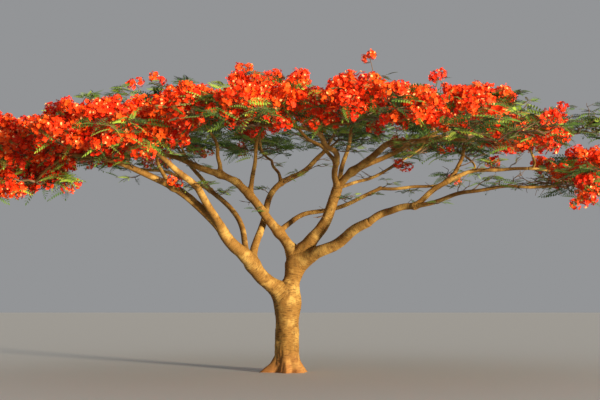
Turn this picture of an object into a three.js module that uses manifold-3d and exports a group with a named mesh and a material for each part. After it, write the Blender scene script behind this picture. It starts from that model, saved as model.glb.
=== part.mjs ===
// A flame tree: a short stout bole that forks twice, long arching boughs, and a wide flat crown
// of feathery leaf sprays and red blossom. Millimetres, +Z up. The origin is the middle of the
// flat cut at ground level. +X runs along the widest spread of the crown, +Y to its far side.

import * as THREE from 'three';
import { mergeVertices } from 'three/addons/utils/BufferGeometryUtils.js';
import Module from 'manifold-3d';

const wasm = await Module();
wasm.setup();

// Driving dimensions of the trunk.
const TRUNK_HEIGHT = 2610;
const BOLE_DIAMETER = 490;
const LEADER_DIAMETER = 335;
const LOW_FORK = { start: 1450, end: 2000 };
const LEAN = 260;
const LEAN_START = 1400;
const FLARE_HEIGHT = 420;
const ROOTS = [
  { bearing: 188, reach: 300 },
  { bearing: 262, reach: 150 },
  { bearing: 318, reach: 200 },
  { bearing: 8, reach: 190 },
  { bearing: 70, reach: 210 },
  { bearing: 130, reach: 230 },
];

const TRUNK_SIDES = 16;
const TRUNK_END = 0.72;

// Every piece is cut back by this much from the piece that carries it.
const JOINT_GAP = 0.3;
const CHAIN_LINKS = 24;

// Limbs, each after the limb that carries it. at is the place along the carrier, from 0 to 1.
// tip is the far end. leave and arrive are headings at the two ends: a bearing in plan, from
// +X towards +Y, and a rise above level, in degrees. girth holds the diameters at both ends.
const LIMBS = [
  { name: 'bough_left_low', from: 'trunk', at: 0.57, tip: [-1380, -1000, 3070],
    leave: [200, 52], arrive: [222, 52], girth: [330, 230] },
  { name: 'bough_left_high', from: 'trunk', at: 0.93, tip: [-1150, 300, 4210],
    leave: [165, 60], arrive: [168, 48], girth: [215, 165] },
  { name: 'bough_centre', from: 'trunk', at: 0.94, tip: [1110, -500, 4020],
    leave: [338, 46], arrive: [310, 68], girth: [285, 200] },
  { name: 'bough_right_low', from: 'trunk', at: 0.91, tip: [1770, -1200, 3200],
    leave: [325, 12], arrive: [322, 20], girth: [275, 180] },

  { name: 'limb_left_low', from: 'bough_left_low', at: 0.98, tip: [-4000, -2500, 4400],
    leave: [217, 42], arrive: [184, 8], girth: [195, 85] },
  { name: 'limb_left_front', from: 'bough_left_low', at: 0.97, tip: [-2450, -3200, 4350],
    leave: [252, 40], arrive: [250, 12], girth: [180, 90] },
  { name: 'limb_left_inner', from: 'limb_left_low', at: 0.42, tip: [-2800, -1500, 4750],
    leave: [170, 40], arrive: [210, 60], girth: [95, 60] },
  { name: 'limb_left_back', from: 'bough_left_low', at: 0.62, tip: [-2500, 3000, 4950],
    leave: [98, 50], arrive: [110, 28], girth: [130, 85] },
  { name: 'limb_left_far', from: 'limb_left_back', at: 0.6, tip: [-4200, 2200, 4850],
    leave: [160, 30], arrive: [178, 12], girth: [85, 60] },
  { name: 'limb_back', from: 'bough_left_low', at: 0.52, tip: [800, 3600, 5250],
    leave: [92, 52], arrive: [66, 24], girth: [165, 110] },
  { name: 'limb_back_inner', from: 'limb_back', at: 0.58, tip: [-650, 3300, 5250],
    leave: [110, 50], arrive: [120, 30], girth: [80, 60] },

  { name: 'limb_left_high', from: 'bough_left_high', at: 0.98, tip: [-3300, 400, 4950],
    leave: [178, 26], arrive: [176, 14], girth: [160, 90] },
  { name: 'limb_left_end', from: 'limb_left_high', at: 0.8, tip: [-5300, -150, 4600],
    leave: [195, -4], arrive: [190, 0], girth: [90, 60] },
  { name: 'limb_left_top', from: 'limb_left_high', at: 0.18, tip: [-1750, 700, 5350],
    leave: [100, 55], arrive: [140, 50], girth: [100, 65] },
  { name: 'limb_top_left', from: 'bough_left_high', at: 0.8, tip: [-500, 100, 5600],
    leave: [60, 70], arrive: [330, 60], girth: [105, 65] },
  { name: 'limb_right_back', from: 'bough_left_high', at: 0.33, tip: [2290, 2400, 4300],
    leave: [76, 26], arrive: [40, 28], girth: [120, 85] },
  { name: 'limb_right_far', from: 'limb_right_back', at: 0.98, tip: [4700, 3400, 4850],
    leave: [34, 2], arrive: [18, 30], girth: [82, 60] },

  { name: 'limb_front', from: 'bough_centre', at: 0.97, tip: [500, -3700, 4700],
    leave: [262, 30], arrive: [245, 4], girth: [135, 85] },
  { name: 'limb_front_inner', from: 'limb_front', at: 0.3, tip: [200, -2100, 5050],
    leave: [235, 40], arrive: [215, 45], girth: [85, 60] },
  { name: 'limb_front_right', from: 'bough_centre', at: 0.97, tip: [2900, -3200, 4600],
    leave: [322, 44], arrive: [305, -8], girth: [160, 85] },
  { name: 'limb_right_high', from: 'limb_front_right', at: 0.16, tip: [4400, 1100, 5400],
    leave: [20, 26], arrive: [24, 4], girth: [115, 70] },
  { name: 'limb_top_right', from: 'bough_centre', at: 0.93, tip: [1500, 50, 5600],
    leave: [60, 60], arrive: [40, 72], girth: [110, 65] },
  { name: 'limb_right_inner', from: 'bough_centre', at: 0.97, tip: [3150, 2100, 5150],
    leave: [48, 14], arrive: [50, 24], girth: [75, 55] },
  { name: 'limb_right_thin', from: 'limb_right_high', at: 0.42, tip: [6100, 850, 5720],
    leave: [356, 24], arrive: [10, -14], girth: [80, 36] },

  { name: 'limb_right_low', from: 'bough_right_low', at: 0.98, tip: [2660, -1800, 3460],
    leave: [330, 34], arrive: [325, 0], girth: [160, 125] },
  { name: 'limb_right_rising', from: 'limb_right_low', at: 0.97, tip: [3700, -1250, 4600],
    leave: [358, 44], arrive: [60, 62], girth: [120, 75] },
  { name: 'limb_right_end', from: 'limb_right_rising', at: 0.5, tip: [5000, -1600, 4250],
    leave: [350, 30], arrive: [352, 2], girth: [85, 60] },
  { name: 'limb_right_droop', from: 'limb_right_low', at: 0.98, tip: [4450, -3150, 3700],
    leave: [322, 6], arrive: [328, -8], girth: [95, 55] },
];

// Masses of foliage, each on the tip of its limb. middle is the centre of the space that a mass
// keeps to, and half its half widths along X, Y and Z. red is the share of its tips in blossom.
// A shoot is a single tip in blossom that stands out above the rest.
const MASSES = [
  { name: 'foliage_front_1', on: 'limb_left_front', middle: [-3300, -3900, 4620],
    half: [1300, 1150, 480], red: 0.95 },
  { name: 'foliage_front_2', on: 'limb_front', middle: [-900, -4450, 4850],
    half: [1250, 1050, 430], red: 0.85 },
  { name: 'foliage_front_3', on: 'limb_front', middle: [1500, -4600, 4900],
    half: [1250, 1050, 450], red: 0.85 },
  { name: 'foliage_front_4', on: 'limb_front_right', middle: [3800, -4050, 4650],
    half: [1300, 1150, 460], red: 0.4 },

  { name: 'foliage_fore_1', on: 'limb_left_low', middle: [-5150, -2450, 4580],
    half: [1250, 1100, 480], red: 0.85 },
  { name: 'foliage_fore_2', on: 'limb_left_inner', middle: [-3050, -1850, 5050],
    half: [1150, 1100, 500], red: 0.75 },
  { name: 'foliage_fore_3', on: 'limb_front_inner', middle: [-900, -2200, 5300],
    half: [1200, 1100, 480], red: 0.7 },
  { name: 'foliage_fore_4', on: 'limb_front_inner', middle: [1200, -2350, 5350],
    half: [1150, 1100, 500], red: 0.75 },
  { name: 'foliage_fore_5', on: 'limb_front_right', middle: [3200, -2150, 5350],
    half: [1150, 1100, 480], red: 0.85 },
  { name: 'foliage_fore_6', on: 'limb_right_end', middle: [4750, -2200, 4900],
    half: [900, 1000, 400], red: 0.8 },

  { name: 'foliage_middle_1', on: 'limb_left_end', middle: [-6250, -250, 4650],
    half: [1150, 1250, 480], red: 0.8 },
  { name: 'foliage_middle_2', on: 'limb_left_high', middle: [-4300, 150, 5400],
    half: [1200, 1150, 500], red: 0.35 },
  { name: 'foliage_middle_3', on: 'limb_left_top', middle: [-2300, 250, 5820],
    half: [1150, 1150, 480], red: 0.4, shoot: [-3430, 100, 6400] },
  { name: 'foliage_middle_4', on: 'limb_top_left', middle: [-300, -100, 5970],
    half: [1200, 1150, 500], red: 0.9 },
  { name: 'foliage_middle_5', on: 'limb_top_right', middle: [1800, 150, 5970],
    half: [1200, 1150, 500], red: 0.8, shoot: [1850, 50, 6950] },
  { name: 'foliage_middle_6', on: 'limb_right_rising', middle: [3900, -150, 5720],
    half: [1200, 1150, 520], red: 0.55 },
  { name: 'foliage_middle_7', on: 'limb_right_end', middle: [6450, -900, 4250],
    half: [1050, 1150, 440], red: 0.6 },

  { name: 'foliage_rear_1', on: 'limb_left_far', middle: [-5000, 2350, 5150],
    half: [1250, 1200, 450], red: 0.45 },
  { name: 'foliage_rear_2', on: 'limb_left_back', middle: [-2900, 2450, 5750],
    half: [1200, 1150, 450], red: 0.5 },
  { name: 'foliage_rear_3', on: 'limb_back_inner', middle: [-700, 2300, 6100],
    half: [1200, 1150, 450], red: 0.55 },
  { name: 'foliage_rear_4', on: 'limb_back', middle: [1500, 2500, 6150],
    half: [1200, 1150, 450], red: 0.55 },
  { name: 'foliage_rear_5', on: 'limb_right_inner', middle: [3600, 2300, 5850],
    half: [1150, 1150, 450], red: 0.45 },
  { name: 'foliage_rear_6', on: 'limb_right_high', middle: [5500, 1850, 5600],
    half: [1150, 1150, 420], red: 0.25 },
  { name: 'foliage_right_tip', on: 'limb_right_thin', middle: [6750, 700, 5500],
    half: [850, 750, 380], red: 0.05 },

  { name: 'foliage_back_1', on: 'limb_left_back', middle: [-3100, 4300, 5650],
    half: [1250, 1100, 420], red: 0.35 },
  { name: 'foliage_back_2', on: 'limb_back_inner', middle: [-850, 4600, 5650],
    half: [1200, 1050, 420], red: 0.2 },
  { name: 'foliage_back_3', on: 'limb_back', middle: [1500, 4600, 5900],
    half: [1250, 1050, 420], red: 0.2 },
  { name: 'foliage_back_4', on: 'limb_right_far', middle: [4200, 4000, 5550],
    half: [1450, 1200, 420], red: 0.3 },

  { name: 'foliage_left_droop', on: 'limb_left_low', middle: [-5550, -1550, 4050],
    half: [1100, 1000, 300], red: 0.9 },
  { name: 'foliage_right_droop', on: 'limb_right_droop', middle: [5500, -3000, 3850],
    half: [1100, 1000, 320], red: 0.5 },
];

// Lines and girths of limbs. A limb whose place on its carrier is past COLLAR.until carries on
// from the carrier's end, and has no collar.
const BEZIER_HANDLE = 0.36;
const SWAY = { share: 0.022, waves: 1.6, upright: 0.6 };
const COLLAR = { swell: 0.28, reach: 1.3, until: 0.95 };
const STOUT = 240;
const RING_SPACING = 600;

// The growth rule of a mass. Reaches and levels are shares of its half widths.
const SPACE = { margin: 12, stretch: 1.2, thinness: 0.25, flatness: 3, least: 0.35, most: 0.65 };
const STEM = { base: 30, end: 26, aside: 12, bend: 0.35 };
const HUB = { pull: 0.3, drop: 0.35, across: 120 };
const ARM = { count: 3, reach: 0.55, level: -0.1, scatter: 0.4, base: 34 };
const TIP = { count: 7, reach: 0.8, dome: 0.75, level: -0.3, scatter: 0.3, back: 0.2, base: 24 };
const LEAF = { length: 820, width: 400, thickness: 100, seat: 0.1, turns: [0, 50, -50, 90] };
const BLOSSOM = { across: 620, high: 380, ragged: 0.14 };
const SPRAY_SCALE = { least: 0.85, range: 0.3, shoot: 0.5 };
const DROOP = { least: 6, range: 14 };
const GOLDEN_ANGLE = Math.PI * (3 - Math.sqrt(5));
const UP = new THREE.Vector3(0, 0, 1);

const BARK = new THREE.Color(0x9a6b3a);
const LIMB_BARK = new THREE.Color(0xb48a5a);
const LEAF_GREEN = new THREE.Color(0x55622f);
const BLOSSOM_RED = new THREE.Color(0xd4391a);

// Numbers from 0 to 1 that come out the same on every run.
function seeded(seed) {
  let state = Math.imul(seed + 1, 2654435761) >>> 0;
  return () => {
    state = (Math.imul(state, 1664525) + 1013904223) >>> 0;
    return state / 4294967296;
  };
}

// A unit vector from a bearing in plan and a rise above level, in degrees.
function heading([bearing, rise]) {
  const turn = THREE.MathUtils.degToRad(bearing);
  const lift = THREE.MathUtils.degToRad(rise);
  const level = Math.cos(lift);
  return new THREE.Vector3(level * Math.cos(turn), level * Math.sin(turn), Math.sin(lift));
}

// The middle line of the trunk: upright, then leaning towards +X above the low fork.
class TrunkLine extends THREE.Curve {
  getPoint(t) {
    const height = t * TRUNK_HEIGHT;
    const climbed = Math.max(0, height - LEAN_START) / (TRUNK_HEIGHT - LEAN_START);
    return new THREE.Vector3(LEAN * climbed ** 1.2, 0, height);
  }
}

// The middle line of a limb: a cubic Bezier between its two headings, with a slow sideways and
// upright sway that dies out at both ends.
class LimbLine extends THREE.Curve {
  constructor(start, tip, leave, arrive, random) {
    super();
    this.reach = start.distanceTo(tip);
    const handle = BEZIER_HANDLE * this.reach;
    const first = start.clone().addScaledVector(heading(leave), handle);
    const second = tip.clone().addScaledVector(heading(arrive), -handle);
    this.bezier = new THREE.CubicBezierCurve3(start, first, second, tip);
    this.side = new THREE.Vector3().crossVectors(UP, tip.clone().sub(start)).normalize();
    this.sidePhase = 2 * Math.PI * random();
    this.risePhase = 2 * Math.PI * random();
  }

  getPoint(t) {
    const sway = SWAY.share * this.reach * Math.sin(Math.PI * t);
    const turns = 2 * Math.PI * SWAY.waves * t;
    return this.bezier.getPoint(t)
      .addScaledVector(this.side, sway * Math.sin(turns + this.sidePhase))
      .addScaledVector(UP, SWAY.upright * sway * Math.sin(turns + this.risePhase));
  }
}

// The radius of the trunk at a height and a bearing: the bole narrows to the leader at the low
// fork, and the roots swell it at the ground.
function trunkRadius(height, bearing) {
  const narrowing = THREE.MathUtils.smoothstep(height, LOW_FORK.start, LOW_FORK.end);
  const stem = THREE.MathUtils.lerp(BOLE_DIAMETER, LEADER_DIAMETER, narrowing) / 2;
  const flare = Math.max(0, 1 - height / FLARE_HEIGHT) ** 2;
  const lobes = ROOTS.map(({ bearing: middle, reach }) => {
    const away = Math.cos(bearing - THREE.MathUtils.degToRad(middle));
    return reach * Math.exp(6 * (away - 1));
  });
  return stem + flare * Math.max(...lobes);
}

// A limb's radius along its length: an even taper, with a collar where it leaves its carrier.
function limbRadius(t, length, { at, girth: [base, end] }) {
  const taper = THREE.MathUtils.lerp(base, end, t) / 2;
  const swell = at < COLLAR.until ? COLLAR.swell : 0;
  return taper * (1 + swell * Math.exp((-t * length) / (COLLAR.reach * base)));
}

// A closed tube along a line, bent from a unit cylinder. radiusAt(t, angle) gives its radius,
// rows the places of its rings from 0 to 1, and grow swells it all over and at both ends.
function tube(line, radiusAt, sides, rows, grow = 0) {
  const steps = rows.length - 1;
  const geometry = new THREE.CylinderGeometry(1, 1, steps, sides, steps);
  const position = geometry.attributes.position;
  const rings = rows.map((t) => ({ t, centre: line.getPoint(t), along: line.getTangent(t) }));
  let normal = new THREE.Vector3(1, 0, 0);
  for (const ring of rings) {
    normal = normal.addScaledVector(ring.along, -normal.dot(ring.along)).normalize();
    ring.across = normal.clone();
    ring.beside = new THREE.Vector3().crossVectors(ring.across, ring.along);
  }
  rings[0].centre.addScaledVector(rings[0].along, -grow);
  rings[steps].centre.addScaledVector(rings[steps].along, grow);
  const swell = grow / Math.cos(Math.PI / sides);
  for (let i = 0; i < position.count; i++) {
    const ring = rings[Math.round(position.getY(i) + steps / 2)];
    const angle = Math.atan2(position.getZ(i), position.getX(i));
    const out = Math.hypot(position.getX(i), position.getZ(i)) > 0.5 ? 1 : 0;
    const radius = out * (radiusAt(ring.t, angle) + swell);
    const point = ring.centre.clone()
      .addScaledVector(ring.across, radius * Math.cos(angle))
      .addScaledVector(ring.beside, radius * Math.sin(angle));
    position.setXYZ(i, ...point);
  }
  return geometry;
}

// Places of rings at even steps from 0 to 1.
function evenRows(steps) {
  return Array.from({ length: steps + 1 }, (_, i) => i / steps);
}

// A solid from a closed geometry.
function solid(geometry) {
  geometry.deleteAttribute('normal');
  geometry.deleteAttribute('uv');
  const merged = mergeVertices(geometry, 1e-3);
  return new wasm.Manifold(new wasm.Mesh({
    numProp: 3,
    vertProperties: new Float32Array(merged.attributes.position.array),
    triVerts: new Uint32Array(merged.index.array),
  }));
}

// The largest closed body of a solid. Loose scraps go, and so do sealed hollows.
function mainBody(body) {
  const pieces = body.decompose();
  return pieces.reduce((best, piece) => (piece.volume() > best.volume() ? piece : best));
}

// A named mesh from a solid.
function meshOf(name, body, colour, roughness) {
  const { vertProperties, triVerts } = body.getMesh();
  const geometry = new THREE.BufferGeometry();
  geometry.setAttribute('position', new THREE.BufferAttribute(vertProperties, 3));
  geometry.setIndex(new THREE.BufferAttribute(triVerts, 1));
  geometry.computeVertexNormals();
  const material = new THREE.MeshStandardMaterial({ color: colour, roughness, metalness: 0 });
  const mesh = new THREE.Mesh(geometry, material);
  mesh.name = name;
  return mesh;
}

// The chain of balls that a round piece fills, for telling what would touch it.
function chainOf(line, radiusAt, links) {
  return evenRows(links).map((t) => ({ centre: line.getPoint(t), radius: radiusAt(t) }));
}

// Whether a ball stays clear of every link of a chain.
function clearOfChain(ball, chain) {
  const near = new THREE.Vector3();
  for (let i = 1; i < chain.length; i++) {
    const link = new THREE.Line3(chain[i - 1].centre, chain[i].centre);
    link.closestPointToPoint(ball.centre, true, near);
    const radius = Math.max(chain[i - 1].radius, chain[i].radius);
    if (near.distanceTo(ball.centre) < ball.radius + radius + SPACE.margin) return false;
  }
  return true;
}

// The trunk, from the flat cut at the ground to the top fork, with a rounded end.
function makeTrunk() {
  const line = new TrunkLine();
  const heights = [0, 60, 150, 270, 430, 800, 1350, 1600, 1800, 2000, 2300, 2550, 2610];
  const rows = heights.map((height) => height / TRUNK_HEIGHT);
  const rounding = (t) => (t === 1 ? TRUNK_END : 1);
  // A ring's angles run against the bearing, because its second side points to -Y.
  const radiusAt = (t, angle) => rounding(t) * trunkRadius(t * TRUNK_HEIGHT, -angle);
  const shape = (grow) => solid(tube(line, radiusAt, TRUNK_SIDES, rows, grow));
  const chain = chainOf(line, (t) => trunkRadius(t * TRUNK_HEIGHT, 0), CHAIN_LINKS);
  return { name: 'trunk', line, body: shape(0), grown: shape(JOINT_GAP), chain, shade: BARK };
}

// A limb: a tapered tube from inside its carrier, cut clear of every piece made before it.
function makeLimb(limb, made, seed) {
  const carrier = made.get(limb.from);
  const start = carrier.line.getPoint(limb.at);
  const tip = new THREE.Vector3(...limb.tip);
  const line = new LimbLine(start, tip, limb.leave, limb.arrive, seeded(seed));
  const length = line.getLength();
  const radiusAt = (t) => limbRadius(t, length, limb);
  const sides = limb.girth[0] > STOUT ? 8 : 6;
  const steps = THREE.MathUtils.clamp(Math.round(length / RING_SPACING), 4, 7);
  const shape = (grow) => solid(tube(line, radiusAt, sides, evenRows(steps), grow));
  let body = shape(0);
  for (const { grown } of made.values()) body = body.subtract(grown);
  const chain = chainOf(line, radiusAt, CHAIN_LINKS);
  const grown = shape(JOINT_GAP);
  return { name: limb.name, line, body: mainBody(body), grown, chain, shade: LIMB_BARK };
}

// The space of a mass: an oval round its middle, bounded by flat walls half way to its
// neighbours, weighed by their sizes. Being flat-sided, it holds any piece whose corners it holds.
function spaceOf(mass, others) {
  const middle = new THREE.Vector3(...mass.middle);
  const [wide, deep, high] = mass.half;
  const walls = others.filter((other) => other !== mass).map((other) => {
    const otherMiddle = new THREE.Vector3(...other.middle);
    const across = middle.clone().sub(otherMiddle);
    const normal = new THREE.Vector3(across.x, across.y, across.z * SPACE.flatness);
    const apart = normal.dot(across);
    const bias = (mass.half[0] ** 2 - other.half[0] ** 2) / 2;
    const share = THREE.MathUtils.clamp(0.5 + bias / apart, SPACE.least, SPACE.most);
    const onWall = middle.clone().lerp(otherMiddle, share);
    return new THREE.Plane().setFromNormalAndCoplanarPoint(normal.normalize(), onWall);
  });
  const inOval = (point) => {
    const x = (point.x - middle.x) / wide;
    const y = (point.y - middle.y) / deep;
    const z = (point.z - middle.z) / high;
    return x * x + y * y + SPACE.thinness * z * z < SPACE.stretch ** 2;
  };
  const inWalls = (point) => walls.every((wall) => wall.distanceToPoint(point) > SPACE.margin);
  return { middle, wide, deep, high, inOval, inWalls };
}

// Whether a piece of a mass keeps to its space and stays clear of the limbs and other stems. A
// shoot may stand out of the oval, but not of the walls.
function fits(geometry, balls, space, obstacles, shoot) {
  const position = geometry.attributes.position;
  const corner = new THREE.Vector3();
  for (let i = 0; i < position.count; i++) {
    corner.fromBufferAttribute(position, i);
    if (!space.inWalls(corner) || !(shoot || space.inOval(corner))) return false;
  }
  return balls.every((ball) => obstacles.every((chain) => clearOfChain(ball, chain)));
}

// A straight three-sided twig: a slim pyramid on its root that comes to a point at its far end.
function twigPiece(from, to, base) {
  const length = from.distanceTo(to);
  const root = [0, 1, 2].map((i) => {
    const angle = (2 * Math.PI * i) / 3;
    return new THREE.Vector3(base * Math.sin(angle), 0, base * Math.cos(angle));
  });
  const geometry = new THREE.BufferGeometry();
  geometry.setFromPoints([new THREE.Vector3(0, length, 0), ...root]);
  geometry.setIndex([0, 1, 2, 0, 2, 3, 0, 3, 1, 3, 2, 1]);
  const along = to.clone().sub(from).normalize();
  const turn = new THREE.Quaternion().setFromUnitVectors(new THREE.Vector3(0, 1, 0), along);
  geometry.applyQuaternion(turn).translate(...from);
  const line = new THREE.LineCurve3(from, to);
  return { geometry, balls: chainOf(line, (t) => base * (1 - t), 6) };
}

// A spray of leaves as one blade: a long flat octahedron that the point of its twig runs into,
// a little behind its middle.
function leafPiece(tip, bearing, rise, scale) {
  const length = LEAF.length * scale;
  const along = heading([bearing, rise]);
  const across = new THREE.Vector3().crossVectors(UP, along).normalize();
  const face = new THREE.Vector3().crossVectors(along, across);
  const centre = tip.clone().addScaledVector(along, length * LEAF.seat);
  const geometry = new THREE.OctahedronGeometry(0.5);
  geometry.scale(length, LEAF.width * scale, LEAF.thickness);
  geometry.applyMatrix4(new THREE.Matrix4().makeBasis(along, across, face).setPosition(centre));
  const balls = [-0.35, -0.2, 0, 0.2, 0.35].map((share) => ({
    centre: centre.clone().addScaledVector(along, share * length),
    radius: LEAF.width * scale * (0.5 - Math.abs(share)),
  }));
  return { geometry, balls };
}

// A head of blossom: a flattened, ragged ball of twenty faces.
function blossomPiece(centre, scale, random) {
  let geometry = new THREE.IcosahedronGeometry(0.5);
  geometry.deleteAttribute('normal');
  geometry.deleteAttribute('uv');
  geometry = mergeVertices(geometry, 1e-3);
  const position = geometry.attributes.position;
  const corner = new THREE.Vector3();
  for (let i = 0; i < position.count; i++) {
    corner.fromBufferAttribute(position, i);
    corner.multiplyScalar(1 + BLOSSOM.ragged * (2 * random() - 1));
    position.setXYZ(i, ...corner);
  }
  geometry.scale(BLOSSOM.across * scale, BLOSSOM.across * scale, BLOSSOM.high * scale);
  geometry.translate(...centre);
  const balls = [{ centre, radius: 0.4 * BLOSSOM.across * scale }];
  return { geometry, balls };
}

// The stem of a mass: it leaves the tip of its limb and bends to the hub that the arms grow from.
function stemOf(mass, made, space) {
  const carrier = made.get(mass.on);
  const tip = carrier.line.getPoint(1);
  const along = carrier.line.getTangent(1);
  const hub = space.middle.clone().lerp(tip, HUB.pull);
  hub.z = space.middle.z - HUB.drop * space.high;
  const aside = hub.clone().sub(tip);
  aside.addScaledVector(along, -aside.dot(along)).normalize();
  const foot = tip.clone().addScaledVector(along, JOINT_GAP).addScaledVector(aside, STEM.aside);
  const bend = foot.clone().addScaledVector(along, STEM.bend * hub.distanceTo(tip));
  const line = new THREE.QuadraticBezierCurve3(foot, bend, hub);
  const radiusAt = (t) => THREE.MathUtils.lerp(STEM.base, STEM.end, t);
  const shape = (grow) => solid(tube(line, radiusAt, 3, evenRows(2), grow));
  const knot = new THREE.OctahedronGeometry(HUB.across / 2).translate(...hub);
  const body = shape(0).add(solid(knot));
  return { hub, body, grown: shape(JOINT_GAP), chain: chainOf(line, radiusAt, 8) };
}

// A mass of foliage: arms from the hub, a twig from an arm to each tip, and leaves and blossom
// at the tips. The tips are spread over a low dome in a sunflower's order.
function makeMass(mass, seed, space, stem, otherStems, made) {
  const random = seeded(seed);
  const obstacles = [...made.values(), ...otherStems].map(({ chain }) => chain);
  let body = stem.body;
  const grow = ({ geometry, balls }, shoot = false) => {
    const fitting = fits(geometry, balls, space, obstacles, shoot);
    if (fitting) body = body.add(solid(geometry));
    return fitting;
  };
  const place = (ring, turn, level) => new THREE.Vector3(
    space.middle.x + ring * space.wide * Math.cos(turn),
    space.middle.y + ring * space.deep * Math.sin(turn),
    space.middle.z + level * space.high,
  );

  const phase = 2 * Math.PI * random();
  const arms = [];
  for (let i = 0; i < ARM.count; i++) {
    const turn = phase + (2 * Math.PI * (i + ARM.scatter * random())) / ARM.count;
    const arm = new THREE.Line3(stem.hub, place(ARM.reach, turn, ARM.level));
    if (grow(twigPiece(arm.start, arm.end, ARM.base))) arms.push(arm);
  }

  const tips = [];
  for (let i = 0; i < TIP.count; i++) {
    const ring = TIP.reach * Math.sqrt((i + 0.5) / TIP.count);
    const level = TIP.dome * Math.sqrt(1 - ring * ring) + TIP.level + TIP.scatter * random();
    tips.push({ point: place(ring, phase + i * GOLDEN_ANGLE, level) });
  }
  if (mass.shoot) tips.push({ point: new THREE.Vector3(...mass.shoot), shoot: true });

  for (const { point, shoot } of tips) {
    const near = arms.map((arm) => arm.closestPointToPointParameter(point, true));
    const gaps = near.map((share, i) => arms[i].at(share, new THREE.Vector3()).distanceTo(point));
    const arm = arms[gaps.indexOf(Math.min(...gaps))];
    const share = THREE.MathUtils.clamp(near[arms.indexOf(arm)] - TIP.back, 0.1, 0.95);
    const root = arm.at(share, new THREE.Vector3());
    const fitting = grow(twigPiece(root, point, TIP.base), shoot);
    const outward = THREE.MathUtils.radToDeg(Math.atan2(point.y - root.y, point.x - root.x));
    const flowers = random() < mass.red || shoot;
    const scale = SPRAY_SCALE.least + SPRAY_SCALE.range * random();
    const rise = -DROOP.least - DROOP.range * random();
    if (!fitting) continue;
    const size = shoot ? SPRAY_SCALE.shoot : scale;
    if (flowers) grow(blossomPiece(point, size, random), shoot);
    else LEAF.turns.some((turn) => grow(leafPiece(point, outward + turn, rise, size), shoot));
  }

  for (const { grown } of made.values()) body = body.subtract(grown);
  for (const { grown } of otherStems) body = body.subtract(grown);
  return mainBody(body);
}

const flameTree = new THREE.Group();
const made = new Map([['trunk', makeTrunk()]]);
LIMBS.forEach((limb, i) => made.set(limb.name, makeLimb(limb, made, i)));
for (const { name, body, shade } of made.values()) {
  flameTree.add(meshOf(name, body, shade, 0.9));
}

const spaces = MASSES.map((mass) => spaceOf(mass, MASSES));
const stems = MASSES.map((mass, i) => stemOf(mass, made, spaces[i]));
MASSES.forEach((mass, i) => {
  const otherStems = stems.filter((stem) => stem !== stems[i]);
  const body = makeMass(mass, 100 + i, spaces[i], stems[i], otherStems, made);
  flameTree.add(meshOf(mass.name, body, mass.red > 0.5 ? BLOSSOM_RED : LEAF_GREEN, 0.8));
});

export default flameTree;
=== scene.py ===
"""A flame tree in flower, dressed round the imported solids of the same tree.

The sections follow the tree from the ground up: view, trunk, limbs, twigs, leaves and blossom.
Metres throughout. +X runs along the widest spread, +Y to the far side and +Z up.
"""

import math

import bpy
import numpy as np
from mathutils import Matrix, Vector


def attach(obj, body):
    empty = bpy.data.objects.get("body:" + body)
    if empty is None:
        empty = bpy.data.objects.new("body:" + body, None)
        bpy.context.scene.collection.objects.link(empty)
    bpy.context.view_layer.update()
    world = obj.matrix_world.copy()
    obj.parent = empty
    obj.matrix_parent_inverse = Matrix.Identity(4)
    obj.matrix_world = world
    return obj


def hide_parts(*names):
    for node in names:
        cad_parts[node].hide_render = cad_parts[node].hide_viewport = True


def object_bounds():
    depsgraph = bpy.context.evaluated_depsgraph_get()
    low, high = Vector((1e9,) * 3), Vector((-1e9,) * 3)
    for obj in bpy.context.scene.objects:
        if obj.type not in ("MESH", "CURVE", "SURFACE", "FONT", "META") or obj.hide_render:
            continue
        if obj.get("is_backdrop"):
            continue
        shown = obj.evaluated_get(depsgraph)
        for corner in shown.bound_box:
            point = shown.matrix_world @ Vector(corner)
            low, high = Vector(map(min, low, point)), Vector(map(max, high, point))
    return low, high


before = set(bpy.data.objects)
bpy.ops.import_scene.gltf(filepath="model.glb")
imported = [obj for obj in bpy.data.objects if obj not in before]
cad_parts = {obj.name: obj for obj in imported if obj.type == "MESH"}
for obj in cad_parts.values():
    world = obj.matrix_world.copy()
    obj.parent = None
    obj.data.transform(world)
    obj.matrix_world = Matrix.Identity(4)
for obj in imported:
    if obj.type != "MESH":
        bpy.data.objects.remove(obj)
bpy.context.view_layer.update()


# The view: a camera at eye height in front of the tree, tipped slightly up, with the lens that
# gives the photograph's framing. A low warm light comes from the right, over a pale level floor.
EYE = (0.2824, -22.241, 1.6)
LOOK_UP = math.radians(5.531)
LENS_MM = 60.72
FURTHEST_SEEN = 300
SUN_FROM = (0.70, -0.71, 0.06)
SUN_SPREAD = math.radians(9)
SUN_POWER = 8.2
SUN_COLOUR = (1.0, 0.84, 0.60)
DAYLIGHT = {"Color": (0.86, 0.88, 0.91, 1), "Strength": 0.34}
FLOOR_HALF = 90.0
FLOOR_LOOKS = {"Base Color": (0.70, 0.69, 0.665, 1), "Roughness": 0.9}


def added(name, data):
    """A new object of the scene, for a camera, a light or a mesh."""
    obj = bpy.data.objects.new(name, data)
    bpy.context.scene.collection.objects.link(obj)
    return obj


def give(node, inputs):
    """Gives a node its inputs by name or number: a socket is linked, and a value is set."""
    for name, value in inputs.items():
        if isinstance(value, bpy.types.NodeSocket):
            node.id_data.links.new(value, node.inputs[name])
        else:
            node.inputs[name].default_value = value


def new_material(name, looks):
    """A material with values set on its surface shader."""
    material = bpy.data.materials.new(name)
    material.use_nodes = True
    give(material.node_tree.nodes["Principled BSDF"], looks)
    return material


camera = added("camera", bpy.data.cameras.new("camera"))
camera.data.lens = LENS_MM
camera.data.clip_end = FURTHEST_SEEN
camera.location = EYE
camera.rotation_euler = (math.pi / 2 + LOOK_UP, 0, 0)
bpy.context.scene.camera = camera

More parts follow.
